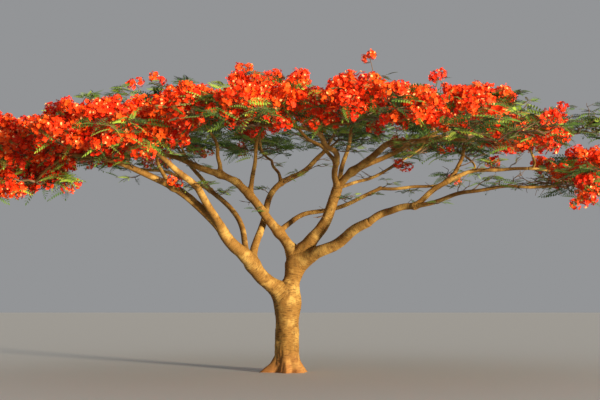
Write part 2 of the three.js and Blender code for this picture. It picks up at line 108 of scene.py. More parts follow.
sun = added("low_sun", bpy.data.lights.new("low_sun", "SUN"))
sun.data.energy = SUN_POWER
sun.data.color = SUN_COLOUR
sun.data.angle = SUN_SPREAD
aim = np.array(SUN_FROM) / np.linalg.norm(SUN_FROM)
sun.rotation_euler = (math.acos(aim[2]), 0, math.atan2(aim[1], aim[0]) + math.pi / 2)

daylight = bpy.data.worlds.new("daylight")
daylight.use_nodes = True
give(daylight.node_tree.nodes["Background"], DAYLIGHT)
bpy.context.scene.world = daylight
bpy.context.scene.view_settings.view_transform = "Standard"

floor_mesh = bpy.data.meshes.new("floor")
floor_corners = [(x * FLOOR_HALF, y * FLOOR_HALF, 0) for x, y in ((-1, -1), (1, -1), (1, 1), (-1, 1))]
floor_mesh.from_pydata(floor_corners, [], [(0, 1, 2, 3)])
floor_mesh.materials.append(new_material("pale_floor", FLOOR_LOOKS))
floor = added("floor", floor_mesh)
floor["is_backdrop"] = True


# The trunk: a short stout bole on six root spurs, with a low fork where the first bough leaves
# and a top fork where three more do. Its bark is tan, wrinkled across, and ruddy at the roots.
TRUNK_HEIGHT = 2.61
BOLE_DIAMETER = 0.49
LEADER_DIAMETER = 0.335
LOW_FORK = (1.45, 2.0)
LEAN = {"reach": 0.26, "from": 1.4, "power": 1.2}
FLARE_HEIGHT = 0.42
ROOTS = [(188, 0.30), (262, 0.15), (318, 0.20), (8, 0.19), (70, 0.21), (130, 0.23)]
ROOT_SHARPNESS = 14
ROOT_RIDGES = {"height": 1.3, "share": 0.10}
ROOT_FOLDS = {"height": 0.75, "depth": 0.045, "round": 4.5, "upright": 1.8, "finer": 2.2}
TRUNK_SIDES = 112
TRUNK_ROWS = 180
TRUNK_SEED = 60
NOISE_MIXERS = (374761393, 668265263, 1440662683)
NOISE_SALT = 974634777
NOISE_STIR = 1274126177
BARK_RELIEF = [
    # bumps to a metre across and along the grain, share of the girth, whether they are sharp
    ((5, 5, 2.2), 0.055, False),
    ((11, 11, 11), 0.030, False),
    ((6, 6, 26), 0.022, True),
    ((14, 14, 52), 0.012, True),
]
# The bumps to a metre of each pattern. Then the range of values that each step moves onto 0 to 1,
# or onto a second range.
BARK_PATTERN = {"rings": (9, 9, 60), "patches": (3.2, 3.2, 3.2), "blotches": (13, 13, 8),
                "pores": (26, 26, 85)}
BARK_STEPS = {"furrows": (0.5, 0.36), "patches": (0.46, 0.66), "blotches": (0.52, 0.74, 0, 0.55),
              "pores": (0.26, 0.1, 0, 0.6), "roughness": (0.3, 0.7, 0.95, 0.78),
              "fading": (1.2, 3.4, 1, 0.5)}
BARK_FINENESS = 0.55
RINGS_IN_HEIGHT = 0.7
BARK_BUMP = 0.8
BARK = {"Tan": (0.255, 0.128, 0.026, 1), "Furrow": (0.055, 0.025, 0.007, 1),
        "Pale": (0.56, 0.35, 0.095, 1), "Wrinkles": 0.65, "Patches": 0.75}
ROOT_RED = {"colour": (0.36, 0.14, 0.045, 1), "top": 0.5, "share": 0.6}


def unit(vectors):
    """Each vector divided by its own length."""
    return vectors / np.linalg.norm(vectors, axis=-1, keepdims=True)


def eased(share):
    """A share from 0 to 1 that starts and ends gently: a cubic."""
    return share * share * (3 - 2 * share)


def soft_noise(places, salt):
    """Smooth bumps from -1 to 1 with a pitch of 1: each corner of a grid of cubes has a value
    mixed from its three whole numbers, and a place has its cube's eight values in eased shares."""
    cell = np.floor(places)
    share = eased(places - cell)
    cell = cell.astype(np.int64)
    total = np.zeros(places.shape[:-1])
    for corner in np.ndindex(2, 2, 2):
        mixed = (((cell + corner) * NOISE_MIXERS).sum(-1) + salt * NOISE_SALT) & 0xFFFFFFFF
        mixed = ((mixed ^ (mixed >> 13)) * NOISE_STIR) & 0xFFFFFFFF
        value = ((mixed ^ (mixed >> 16)) & 0xFFFFFF) / 0x7FFFFF - 1
        total += value * np.where(corner, share, 1 - share).prod(axis=-1)
    return total


def round_skins(lines, radius):
    """Round skins carried along lines: at each place on a line, a ring of points at the given
    radius, square to the line. Each ring's first side is the one before it turned the least."""
    along = unit(np.gradient(lines, axis=1))
    upright = np.abs(along[:, 0, 2:]) > 0.9
    side = np.where(upright, (1.0, 0.0, 0.0), (0.0, 0.0, 1.0))
    across = np.empty_like(lines)
    for row in range(lines.shape[1]):
        lean = (side * along[:, row]).sum(-1, keepdims=True)
        side = unit(side - lean * along[:, row])
        across[:, row] = side
    beside = np.cross(along, across)
    turn = 2 * np.pi * np.arange(radius.shape[-1]) / radius.shape[-1]
    out = across[:, :, None] * np.cos(turn)[:, None] + beside[:, :, None] * np.sin(turn)[:, None]
    return lines[:, :, None] + radius[..., None] * out, out


def closed_skins(rings, lines):
    """The points and faces of closed skins, one after another: their rings, and a pole at each
    end of the line. Squares join the rings, and a fan of triangles closes each end."""
    count, rows, sides = rings.shape[:3]
    poles = lines[:, [0, -1]]
    points = np.concatenate([rings.reshape(count, -1, 3), poles], axis=1)
    first = np.arange(count)[:, None, None] * points.shape[1]
    row = np.arange(rows - 1)[None, :, None] * sides
    side = np.arange(sides)[None, None, :]
    after = (side + 1) % sides
    corners = np.broadcast_arrays(row + side, row + after, row + sides + after, row + sides + side)
    squares = (first[..., None] + np.stack(corners, axis=-1)).reshape(-1, 4)
    last = (rows - 1) * sides
    foot = np.broadcast_arrays(rows * sides, after, side)
    head = np.broadcast_arrays(rows * sides + 1, last + side, last + after)
    fans = np.stack([np.stack(foot, axis=-1), np.stack(head, axis=-1)])
    fans = (first[..., None] + fans.reshape(1, 2, sides, 3)).reshape(-1, 3)
    return points.reshape(-1, 3), [squares, fans]


def joined(parts):
    """Points and faces of several shapes as one, the faces renumbered."""
    points = np.concatenate([part[0] for part in parts])
    starts = np.cumsum([0] + [len(part[0]) for part in parts[:-1]])
    faces = [np.concatenate([part[1][kind] + start for part, start in zip(parts, starts)])
             for kind in range(len(parts[0][1]))]
    return points, faces


def piece_of_tree(name, points, faces, material, slot, nodes, grain=None):
    """A piece from an array of points and arrays of faces. It rides on the tree's one body and
    stands for nodes of the solid tree. Its slot is not used. The grain is each point's place
    in the wood's own measure: across the limb and along it."""
    mesh = bpy.data.meshes.new(name)
    mesh.vertices.add(len(points))
    mesh.vertices.foreach_set("co", points.astype(np.float32).ravel())
    corners = np.concatenate([group.ravel() for group in faces]).astype(np.int32)
    sizes = np.concatenate([np.full(len(group), group.shape[1]) for group in faces])
    mesh.loops.add(len(corners))
    mesh.loops.foreach_set("vertex_index", corners)
    mesh.polygons.add(len(sizes))
    mesh.polygons.foreach_set("loop_start", (np.cumsum(sizes) - sizes).astype(np.int32))
    mesh.update(calc_edges=True)
    mesh.shade_smooth()
    mesh.materials.append(material)
    if grain is not None:
        kept = mesh.attributes.new("grain", "FLOAT_VECTOR", "POINT")
        kept.data.foreach_set("vector", grain.astype(np.float32).ravel())
    obj = added(name, mesh)
    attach(obj, "root")
    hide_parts(*nodes)


def trunk_line(places):
    """Upright, then leaning towards +X from just under the low fork, by a power of the height
    climbed."""
    height = places * TRUNK_HEIGHT
    climbed = np.maximum(0, height - LEAN["from"]) / (TRUNK_HEIGHT - LEAN["from"])
    return np.stack([LEAN["reach"] * climbed ** LEAN["power"], np.zeros_like(height), height], axis=-1)


def trunk_girth(height, bearing):
    """Half the bole's diameter, eased to the leader's at the low fork, and swollen at the ground
    by the root spurs, each a lobe that falls off round the trunk and with the height squared. The
    lobes run on up the bole as low ridges."""
    narrowing = eased(np.clip((height - LOW_FORK[0]) / (LOW_FORK[1] - LOW_FORK[0]), 0, 1))
    stem = (BOLE_DIAMETER + (LEADER_DIAMETER - BOLE_DIAMETER) * narrowing) / 2
    flare = np.maximum(0, 1 - height / FLARE_HEIGHT) ** 2
    lobes = [reach * np.exp(ROOT_SHARPNESS * (np.cos(bearing - math.radians(middle)) - 1))
             for middle, reach in ROOTS]
    ridges = ROOT_RIDGES["share"] * np.clip(1 - height / ROOT_RIDGES["height"], 0, 1)
    return stem + (flare + ridges) * np.max(lobes, axis=0)


def root_folds(height, bearing):
    """Folds that run down the root flare: smooth bumps round the trunk, drawn out upright, which
    deepen towards the ground, and finer ones half as deep."""
    places = np.stack(np.broadcast_arrays(np.cos(bearing), np.sin(bearing), height), axis=-1)
    places = places * (ROOT_FOLDS["round"], ROOT_FOLDS["round"], ROOT_FOLDS["upright"])
    deep = np.clip(1 - height / ROOT_FOLDS["height"], 0, 1) ** 2
    folds = soft_noise(places, 3) + 0.5 * soft_noise(ROOT_FOLDS["finer"] * places, 4)
    return ROOT_FOLDS["depth"] * deep * folds


def bark_relief(grain, girth, salt):
    """How far the bark stands out: slow swellings of the wood, and wrinkles that run round it. A
    wrinkle is the cube of how near a stretched noise is to zero."""
    stand_out = 0
    for number, (pitch, share, sharp) in enumerate(BARK_RELIEF):
        bumps = soft_noise(grain * pitch, salt + number)
        stand_out = stand_out + share * ((1 - np.abs(bumps)) ** 3 if sharp else bumps)
    return girth * stand_out


def add_node(tree, kind, inputs, **settings):
    """A node of a material or a shader group, with its settings made and its inputs given."""
    node = tree.nodes.new(kind)
    for name, value in settings.items():
        setattr(node, name, value)
    give(node, inputs)
    return node


def shader_group(name, inputs):
    """A shader group that takes the named inputs and puts out a colour, a roughness and a height
    that change over the surface."""
    group = bpy.data.node_groups.new(name, "ShaderNodeTree")
    outputs = {"Colour": "Color", "Roughness": "Float", "Height": "Float"}
    for way, sockets in (("INPUT", inputs), ("OUTPUT", outputs)):
        for socket, kind in sockets.items():
            group.interface.new_socket(socket, in_out=way, socket_type="NodeSocket" + kind)
    return group, add_node(group, "NodeGroupInput", {}).outputs


def place_in(tree):
    """The place on the plant, as a material or a shader group reads it."""
    return add_node(tree, "ShaderNodeTexCoord", {}).outputs["Object"]


def height_of(place):
    """The height of a place above the ground."""
    return add_node(place.id_data, "ShaderNodeSeparateXYZ", {"Vector": place}).outputs["Z"]


def ranged(value, low, high, to_low=0.0, to_high=1.0, easing="LINEAR"):
    """A value with its range from low to high moved onto another range, and held there."""
    limits = {"From Min": low, "From Max": high, "To Min": to_low, "To Max": to_high}
    moved = add_node(value.id_data, "ShaderNodeMapRange", {"Value": value, **limits},
                     interpolation_type=easing)
    return moved.outputs["Result"]


def blended(share, first, second):
    """The first colour, with a share of the second."""
    mix = add_node(share.id_data, "ShaderNodeMix", {"Factor": share, 6: first, 7: second}, data_type="RGBA")
    return mix.outputs[2]


def dress(material, group, inputs, relief, depth):
    """Gives a material its colour, roughness and relief from a shader group."""
    tree = material.node_tree
    looks = add_node(tree, "ShaderNodeGroup", inputs, node_tree=group).outputs
    ridges = {"Strength": relief, "Distance": depth, "Height": looks["Height"]}
    normal = add_node(tree, "ShaderNodeBump", ridges).outputs["Normal"]
    surface = {"Base Color": looks["Colour"], "Roughness": looks["Roughness"], "Normal": normal}
    give(tree.nodes["Principled BSDF"], surface)


def bark_grain_group():
    """The look of flame tree bark: tan, with dark furrows where the noise that is drawn out round
    the limb is low, and small pale breathing pores. Pale patches and darker blotches follow the
    place in the tree, so that they run on through the forks. The furrows fade with the height, as
    the young wood is smoother."""
    inputs = {"Grain": "Vector", "Tan": "Color", "Furrow": "Color", "Pale": "Color",
              "Wrinkles": "Float", "Patches": "Float"}
    group, given = shader_group("bark_grain", inputs)
    place = place_in(group)

    def stretched(source, pattern):
        scale = {"Vector": source, "Scale": BARK_PATTERN[pattern]}
        return {"Vector": add_node(group, "ShaderNodeMapping", scale).outputs["Vector"], "Scale": 1}

    def noise(source, pattern, detail):
        settings = {**stretched(source, pattern), "Detail": detail, "Roughness": BARK_FINENESS}
        return add_node(group, "ShaderNodeTexNoise", settings).outputs["Fac"]

    def step(value, name):
        return ranged(value, *BARK_STEPS[name], easing="SMOOTHSTEP")

    def times(first, second):
        return add_node(group, "ShaderNodeMath", {0: first, 1: second}, operation="MULTIPLY").outputs["Value"]

    rings = noise(given["Grain"], "rings", detail=4)
    patches = noise(place, "patches", detail=3)
    blotches = noise(place, "blotches", detail=4)
    pores = add_node(group, "ShaderNodeTexVoronoi", stretched(given["Grain"], "pores")).outputs["Distance"]
    fading = step(height_of(place), "fading")
    pale = blended(times(step(patches, "patches"), given["Patches"]), given["Tan"], given["Pale"])
    dotted = blended(step(pores, "pores"), pale, given["Pale"])
    shaded = blended(step(blotches, "blotches"), dotted, given["Furrow"])
    furrows = times(step(rings, "furrows"), times(fading, given["Wrinkles"]))
    summed = {0: rings, 1: RINGS_IN_HEIGHT, 2: blotches}
    height = add_node(group, "ShaderNodeMath", summed, operation="MULTIPLY_ADD").outputs["Value"]
    colour = blended(furrows, shaded, given["Furrow"])
    rough = step(rings, "roughness")
    add_node(group, "NodeGroupOutput", {"Colour": colour, "Roughness": rough, "Height": height})
    return group


def bark_material(name, looks, depth):
    """Bark from the shared group, read along the wood's own grain."""
    material = new_material(name, {"Specular IOR Level": 0.25})
    grain = add_node(material.node_tree, "ShaderNodeAttribute", {}, attribute_name="grain")
    dress(material, bark_looks, {"Grain": grain.outputs["Vector"], **looks}, BARK_BUMP, depth)
    return material


def redden_the_foot(material):
    """Ruddy bark towards the ground: the share of red grows evenly from nothing at the top height."""
    surface = material.node_tree.nodes["Principled BSDF"]
    plain = surface.inputs["Base Color"].links[0].from_socket
    share = ranged(height_of(place_in(material.node_tree)), ROOT_RED["top"], 0, 0, ROOT_RED["share"])
    give(surface, {"Base Color": blended(share, plain, ROOT_RED["colour"])})


bark_looks = bark_grain_group()
wood_bark = bark_material("wood_bark", BARK, depth=0.006)
redden_the_foot(wood_bark)


# The limbs: four boughs and the limbs that they part into, each one tapering round of living wood
# that grows out of the one before, so that the bark runs on through every fork. Smooth and sunlit
# tan on the boughs, with slow swellings, healed knots and pale patches.
BEZIER_HANDLE = 0.36
SWAY = {"share": 0.022, "waves": 1.6, "upright": 0.6}
COLLAR = {"swell": 0.28, "reach": 1.3, "until": 0.95}
CHAIN_LINKS = 24
LENGTH_STEPS = 200
SIDE_WIDTH = 0.020
FEWEST_SIDES = 16
ROW_STEP = 0.036
GRAIN_APART = 7.3
SAME_FORK = 0.3
FORK_STEP = 0.02
ROOT_BACK = 0.9
ROUNDEST = 0.97
KNOT = {"spacing": 0.6, "height": 0.10, "width": 0.5, "least": 0.6, "more": 0.8}
LIMBS = [
    # name, carrier, place on it, tip, headings at both ends (bearing, rise), diameters at both ends
    ("bough_left_low", "trunk", 0.57, (-1.38, -1.00, 3.07), (200, 52), (222, 52), (0.330, 0.230)),
    ("bough_left_high", "trunk", 0.93, (-1.15, 0.30, 4.21), (165, 60), (168, 48), (0.215, 0.165)),
    ("bough_centre", "trunk", 0.94, (1.11, -0.50, 4.02), (338, 46), (310, 68), (0.285, 0.200)),
    ("bough_right_low", "trunk", 0.91, (1.77, -1.20, 3.20), (325, 12), (322, 20), (0.275, 0.180)),
    ("limb_left_low", "bough_left_low", 0.98, (-4.00, -2.50, 4.40), (217, 42), (184, 8), (0.195, 0.085)),
    ("limb_left_front", "bough_left_low", 0.97, (-2.45, -3.20, 4.35), (252, 40), (250, 12), (0.180, 0.090)),
    ("limb_left_inner", "limb_left_low", 0.42, (-2.80, -1.50, 4.75), (170, 40), (210, 60), (0.095, 0.060)),
    ("limb_left_back", "bough_left_low", 0.62, (-2.50, 3.00, 4.95), (98, 50), (110, 28), (0.130, 0.085)),
    ("limb_left_far", "limb_left_back", 0.60, (-4.20, 2.20, 4.85), (160, 30), (178, 12), (0.085, 0.060)),
    ("limb_back", "bough_left_low", 0.52, (0.80, 3.60, 5.25), (92, 52), (66, 24), (0.165, 0.110)),
    ("limb_back_inner", "limb_back", 0.58, (-0.65, 3.30, 5.25), (110, 50), (120, 30), (0.080, 0.060)),
    ("limb_left_high", "bough_left_high", 0.98, (-3.30, 0.40, 4.95), (178, 26), (176, 14), (0.160, 0.090)),
    ("limb_left_end", "limb_left_high", 0.80, (-5.30, -0.15, 4.60), (195, -4), (190, 0), (0.090, 0.060)),
    ("limb_left_top", "limb_left_high", 0.18, (-1.75, 0.70, 5.35), (100, 55), (140, 50), (0.100, 0.065)),
    ("limb_top_left", "bough_left_high", 0.80, (-0.50, 0.10, 5.60), (60, 70), (330, 60), (0.105, 0.065)),
    ("limb_right_back", "bough_left_high", 0.33, (2.29, 2.40, 4.30), (76, 26), (40, 28), (0.120, 0.085)),
    ("limb_right_far", "limb_right_back", 0.98, (4.70, 3.40, 4.85), (34, 2), (18, 30), (0.082, 0.060)),
    ("limb_front", "bough_centre", 0.97, (0.50, -3.70, 4.70), (262, 30), (245, 4), (0.135, 0.085)),
    ("limb_front_inner", "limb_front", 0.30, (0.20, -2.10, 5.05), (235, 40), (215, 45), (0.085, 0.060)),
    ("limb_front_right", "bough_centre", 0.97, (2.90, -3.20, 4.60), (322, 44), (305, -8), (0.160, 0.085)),
    ("limb_right_high", "limb_front_right", 0.16, (4.40, 1.10, 5.40), (20, 26), (24, 4), (0.115, 0.070)),
    ("limb_top_right", "bough_centre", 0.93, (1.50, 0.05, 5.60), (60, 60), (40, 72), (0.110, 0.065)),
    ("limb_right_inner", "bough_centre", 0.97, (3.15, 2.10, 5.15), (48, 14), (50, 24), (0.075, 0.055)),
    ("limb_right_thin", "limb_right_high", 0.42, (6.10, 0.85, 5.72), (356, 24), (10, -14), (0.080, 0.036)),
    ("limb_right_low", "bough_right_low", 0.98, (2.66, -1.80, 3.46), (330, 34), (325, 0), (0.160, 0.125)),
    ("limb_right_rising", "limb_right_low", 0.97, (3.70, -1.25, 4.60), (358, 44), (60, 62), (0.120, 0.075)),
    ("limb_right_end", "limb_right_rising", 0.50, (5.00, -1.60, 4.25), (350, 30), (352, 2), (0.085, 0.060)),
    ("limb_right_droop", "limb_right_low", 0.98, (4.45, -3.15, 3.70), (322, 6), (328, -8), (0.095, 0.055)),
]
UP = np.array((0.0, 0.0, 1.0))


def seeded(seed):
    """Numbers from 0 to 1, the same as the solid tree's: a whole number of 32 bits that is
    multiplied and added to for each draw."""
    state = (seed + 1) * 2654435761 % 2**32
    while True:
        state = (state * 1664525 + 1013904223) % 2**32
        yield state / 2**32


def heading(bearing, rise):
    """A unit vector from a bearing in plan and a rise above level, in degrees."""
    turn, lift = np.radians(bearing), np.radians(rise)
    return np.stack([np.cos(lift) * np.cos(turn), np.cos(lift) * np.sin(turn), np.sin(lift)], axis=-1)


def limb_line_of(start, tip, leave, arrive, draws):
    """A limb's middle line as a function of the share along it: a cubic Bezier curve between its
    two headings, with a slow sway to the side and upright that dies out at both ends."""
    reach = np.linalg.norm(tip - start)
    first = start + BEZIER_HANDLE * reach * heading(*leave)
    second = tip - BEZIER_HANDLE * reach * heading(*arrive)
    beside = unit(np.cross(UP, tip - start))
    side_phase, rise_phase = 2 * np.pi * next(draws), 2 * np.pi * next(draws)

    def line(places):
        t = np.asarray(places, float)[..., None]
        curve = (1 - t) ** 3 * start + 3 * (1 - t) ** 2 * t * first
        curve = curve + 3 * (1 - t) * t**2 * second + t**3 * tip
        sway = SWAY["share"] * reach * np.sin(np.pi * t)
        turns = 2 * np.pi * SWAY["waves"] * t
        aside = sway * np.sin(turns + side_phase) * beside
        return curve + aside + SWAY["upright"] * sway * np.sin(turns + rise_phase) * UP

    return line


def limb_girth(limb, places):
    """An even taper between a limb's two diameters, with a collar where it leaves the middle of
    another limb, which falls off with the distance from its root."""
    first, last = limb["diameters"]
    swell = COLLAR["swell"] if limb["place"] < COLLAR["until"] else 0
    collar = 1 + swell * np.exp(-places * limb["length"] / (COLLAR["reach"] * first))
    return (first + (last - first) * places) / 2 * collar


def link_gaps(points, starts, ends, first, last):
    """How far points lie outside the nearest of some links, each a round of wood with a girth at
    its start and one at its end: the distance to its middle line, less the girth there."""
    span = ends - starts
    share = ((points[:, None] - starts) * span).sum(-1) / (span**2).sum(-1)
    share = np.clip(share, 0, 1)
    near = starts + share[..., None] * span
    return (np.linalg.norm(points[:, None] - near, axis=-1) - (first + share * (last - first))).min(axis=1)


wood = {"trunk": {"line": trunk_line, "from": None, "place": 0.0, "seed": TRUNK_SEED}}
for order, (name, carrier, place, tip, leave, arrive, diameters) in enumerate(LIMBS):
    root = wood[carrier]["line"](place)
    line = limb_line_of(root, np.array(tip), leave, arrive, seeded(order))
    wood[name] = {"line": line, "from": carrier, "place": place, "seed": order, "diameters": diameters}

for name, limb in wood.items():
    places = np.linspace(0, 1, CHAIN_LINKS + 1)
    limb["chain"] = limb["line"](places)
    steps = np.diff(limb["line"](np.linspace(0, 1, LENGTH_STEPS)), axis=0)
    limb["length"] = np.linalg.norm(steps, axis=1).sum()
    trunk = name == "trunk"
    limb["radii"] = trunk_girth(places * TRUNK_HEIGHT, 0) if trunk else limb_girth(limb, places)


def forks_with(name, other):
    """Whether two limbs join: one carries the other, or both leave the same place."""
    first, second = wood[name], wood[other]
    if first["from"] == other or second["from"] == name:
        return True
    near = np.linalg.norm(first["chain"][0] - second["chain"][0]) < SAME_FORK
    return first["from"] == second["from"] and near


def spread_at_fork(name, other):
    """The sine of the angle at which two joined limbs part."""
    if wood[other]["from"] == name:
        name, other = other, name
    place = wood[name]["place"] if wood[name]["from"] == other else 0
    lines = (wood[name]["line"], 0), (wood[other]["line"], place)
    return np.linalg.norm(np.cross(*[unit(line(at + FORK_STEP) - line(at)) for line, at in lines]))


def eased_forks(name, rings, out):
    """Rings moved out where limbs meet, so that each flows into the next: by a quarter of the
    ease, times the square of how near the other limb's skin is. The ease is the thinner limb's
    diameter times the sine of the fork's angle."""
    points = rings.reshape(-1, 3)
    push = np.zeros(len(points))
    for other, limb in wood.items():
        if other == name or not forks_with(name, other):
            continue
        thinner = min(wood[name]["radii"][0], limb["radii"][0])
        ease = 2 * thinner * spread_at_fork(name, other)
        line, girth = limb["chain"], limb["radii"]
        near = ((points > line.min(axis=0) - 2 * ease) & (points < line.max(axis=0) + 2 * ease)).all(axis=1)
        if not near.any():
            continue
        gap = link_gaps(points[near], line[:-1], line[1:], girth[:-1], girth[1:])
        push[near] = np.maximum(push[near], ease / 4 * np.clip(1 - np.abs(gap) / ease, 0, 1) ** 2)
    return rings + push.reshape(rings.shape[:-1])[..., None] * out


def healed_knots(places, turn, length, girth, seed):
    """Low round swellings where small branches once grew, scattered along a limb: each falls off
    as a bell with the distance over the bark."""
    draws = np.random.RandomState(400 + seed)
    stand_out = np.zeros((len(places), len(turn)))
    for _ in range(int(length / KNOT["spacing"])):
        along, round_it, size = draws.rand(3)
        width = KNOT["width"] * girth * (KNOT["least"] + KNOT["more"] * size)
        over = (places - along)[:, None] * length
        aside = girth[:, None] * ((turn - 2 * np.pi * round_it + np.pi) % (2 * np.pi) - np.pi)
        bell = np.exp(-(over**2 + aside**2) / (2 * width[:, None] ** 2))
        stand_out += KNOT["height"] * girth[:, None] * size * bell
    return stand_out


def wooden_skin(name):
    """The bark of one limb or of the trunk as a closed skin, with each point's grain: its place
    across the wood and along it. It is rounded off at its end. A limb starts rounded too, a little
    way back inside the wood that carries it."""
    limb = wood[name]
    length = limb["length"]
    if name == "trunk":
        rows, sides, back = TRUNK_ROWS, TRUNK_SIDES, 0
    else:
        root = limb["diameters"][0]
        rows, back = int(length / ROW_STEP), ROOT_BACK * root / 2
        sides = max(FEWEST_SIDES, round(math.pi * root / SIDE_WIDTH))
    places = np.linspace(-back / length, 1, rows)
    turn = 2 * np.pi * np.arange(sides) / sides
    if name == "trunk":
        height = places[:, None] * TRUNK_HEIGHT
        girth = trunk_girth(height, turn) + root_folds(height, turn)
    else:
        girth = np.repeat(limb_girth(limb, places)[:, None], sides, axis=1)
    along = np.repeat(places[:, None] * length, sides, axis=1)
    grain = np.stack([girth * np.cos(turn), girth * np.sin(turn), along], axis=-1)
    grain = grain + GRAIN_APART * limb["seed"]
    stout = girth.mean(axis=1)
    radius = girth + bark_relief(grain, stout[:, None], 10 * limb["seed"])
    if name != "trunk":
        radius = radius + healed_knots(places, turn, length, stout, limb["seed"])
    into_end = np.clip(1 - (1 - places) * length / stout[-1], 0, ROUNDEST)
    radius = radius * np.sqrt(1 - into_end**2)[:, None]
    if name != "trunk":
        into_root = np.clip(-places * length / back, 0, ROUNDEST)
        radius = radius * np.sqrt(1 - into_root**2)[:, None]
    line = limb["line"](places)[None]
    rings = eased_forks(name, *round_skins(line, radius[None]))
    points, faces = closed_skins(rings, line)
    return points, faces, np.concatenate([grain.reshape(-1, 3), grain[[0, -1], 0]])


limb_names = [row[0] for row in LIMBS]
for piece, names in (("trunk_bark", ["trunk"]), ("bough_bark", limb_names[:4]),
                     ("left_limb_bark", limb_names[4:15]), ("right_limb_bark", limb_names[15:])):
    skins = [wooden_skin(name) for name in names]
    grain = np.concatenate([skin[2] for skin in skins])
    piece_of_tree(piece, *joined(skins), wood_bark, "bark", names, grain)


# The twigs: from each limb's tip a stem runs to the hub of a mass, and arms spread from there. They
# carry twigs to the mass's tips and rim, and both fork into sprigs that end in leaves or blossom.
# Short tufts stand on the crown and shoots along the limbs. All are thin dark brown wood.
MASSES = [
    # name, limb, middle and half widths of its space, shares in blossom on top and underneath
    ("front_1", "left_front", (-3.30, -3.90, 4.62), (1.30, 1.15, 0.48), 0.95, 0.95),
    ("front_2", "front", (-0.90, -4.45, 4.85), (1.25, 1.05, 0.43), 0.85, 0.35),
    ("front_3", "front", (1.50, -4.60, 4.90), (1.25, 1.05, 0.45), 0.85, 0.45),
    ("front_4", "front_right", (3.80, -4.05, 4.65), (1.30, 1.15, 0.46), 0.40, 0.20),
    ("fore_1", "left_low", (-5.15, -2.45, 4.58), (1.25, 1.10, 0.48), 0.85, 0.70),
    ("fore_2", "left_inner", (-3.05, -1.85, 5.05), (1.15, 1.10, 0.50), 0.75, 0.70),
    ("fore_3", "front_inner", (-0.90, -2.20, 5.30), (1.20, 1.10, 0.48), 0.70, 0.10),
    ("fore_4", "front_inner", (1.20, -2.35, 5.35), (1.15, 1.10, 0.50), 0.75, 0.10),
    ("fore_5", "front_right", (3.20, -2.15, 5.35), (1.15, 1.10, 0.48), 0.85, 0.10),
    ("fore_6", "right_end", (4.75, -2.20, 4.90), (0.90, 1.00, 0.40), 0.80, 0.50),
    ("middle_1", "left_end", (-6.25, -0.25, 4.65), (1.15, 1.25, 0.48), 0.80, 0.60),
    ("middle_2", "left_high", (-4.30, 0.15, 5.40), (1.20, 1.15, 0.50), 0.35, 0.10),
    ("middle_3", "left_top", (-2.30, 0.25, 5.82), (1.15, 1.15, 0.48), 0.40, 0.10),
    ("middle_4", "top_left", (-0.30, -0.10, 5.97), (1.20, 1.15, 0.50), 0.90, 0.10),
    ("middle_5", "top_right", (1.80, 0.15, 5.97), (1.20, 1.15, 0.50), 0.80, 0.10),
    ("middle_6", "right_rising", (3.90, -0.15, 5.72), (1.20, 1.15, 0.52), 0.55, 0.10),
    ("middle_7", "right_end", (6.45, -0.90, 4.25), (1.05, 1.15, 0.44), 0.60, 0.60),
    ("rear_1", "left_far", (-5.00, 2.35, 5.15), (1.25, 1.20, 0.45), 0.45, 0.10),
    ("rear_2", "left_back", (-2.90, 2.45, 5.75), (1.20, 1.15, 0.45), 0.50, 0.10),
    ("rear_3", "back_inner", (-0.70, 2.30, 6.10), (1.20, 1.15, 0.45), 0.55, 0.10),
    ("rear_4", "back", (1.50, 2.50, 6.15), (1.20, 1.15, 0.45), 0.55, 0.10),
    ("rear_5", "right_inner", (3.60, 2.30, 5.85), (1.15, 1.15, 0.45), 0.45, 0.10),
    ("rear_6", "right_high", (5.50, 1.85, 5.60), (1.15, 1.15, 0.42), 0.25, 0.10),
    ("right_tip", "right_thin", (6.75, 0.70, 5.50), (0.85, 0.75, 0.38), 0.05, 0.10),
    ("back_1", "left_back", (-3.10, 4.30, 5.65), (1.25, 1.10, 0.42), 0.35, 0.10),
    ("back_2", "back_inner", (-0.85, 4.60, 5.65), (1.20, 1.05, 0.42), 0.20, 0.10),
    ("back_3", "back", (1.50, 4.60, 5.90), (1.25, 1.05, 0.42), 0.20, 0.10),
    ("back_4", "right_far", (4.20, 4.00, 5.55), (1.45, 1.20, 0.42), 0.30, 0.10),
    ("left_droop", "left_low", (-5.55, -1.55, 4.05), (1.10, 1.00, 0.30), 0.90, 0.60),
    ("right_droop", "right_droop", (5.50, -3.00, 3.85), (1.10, 1.00, 0.32), 0.50, 0.30),
]
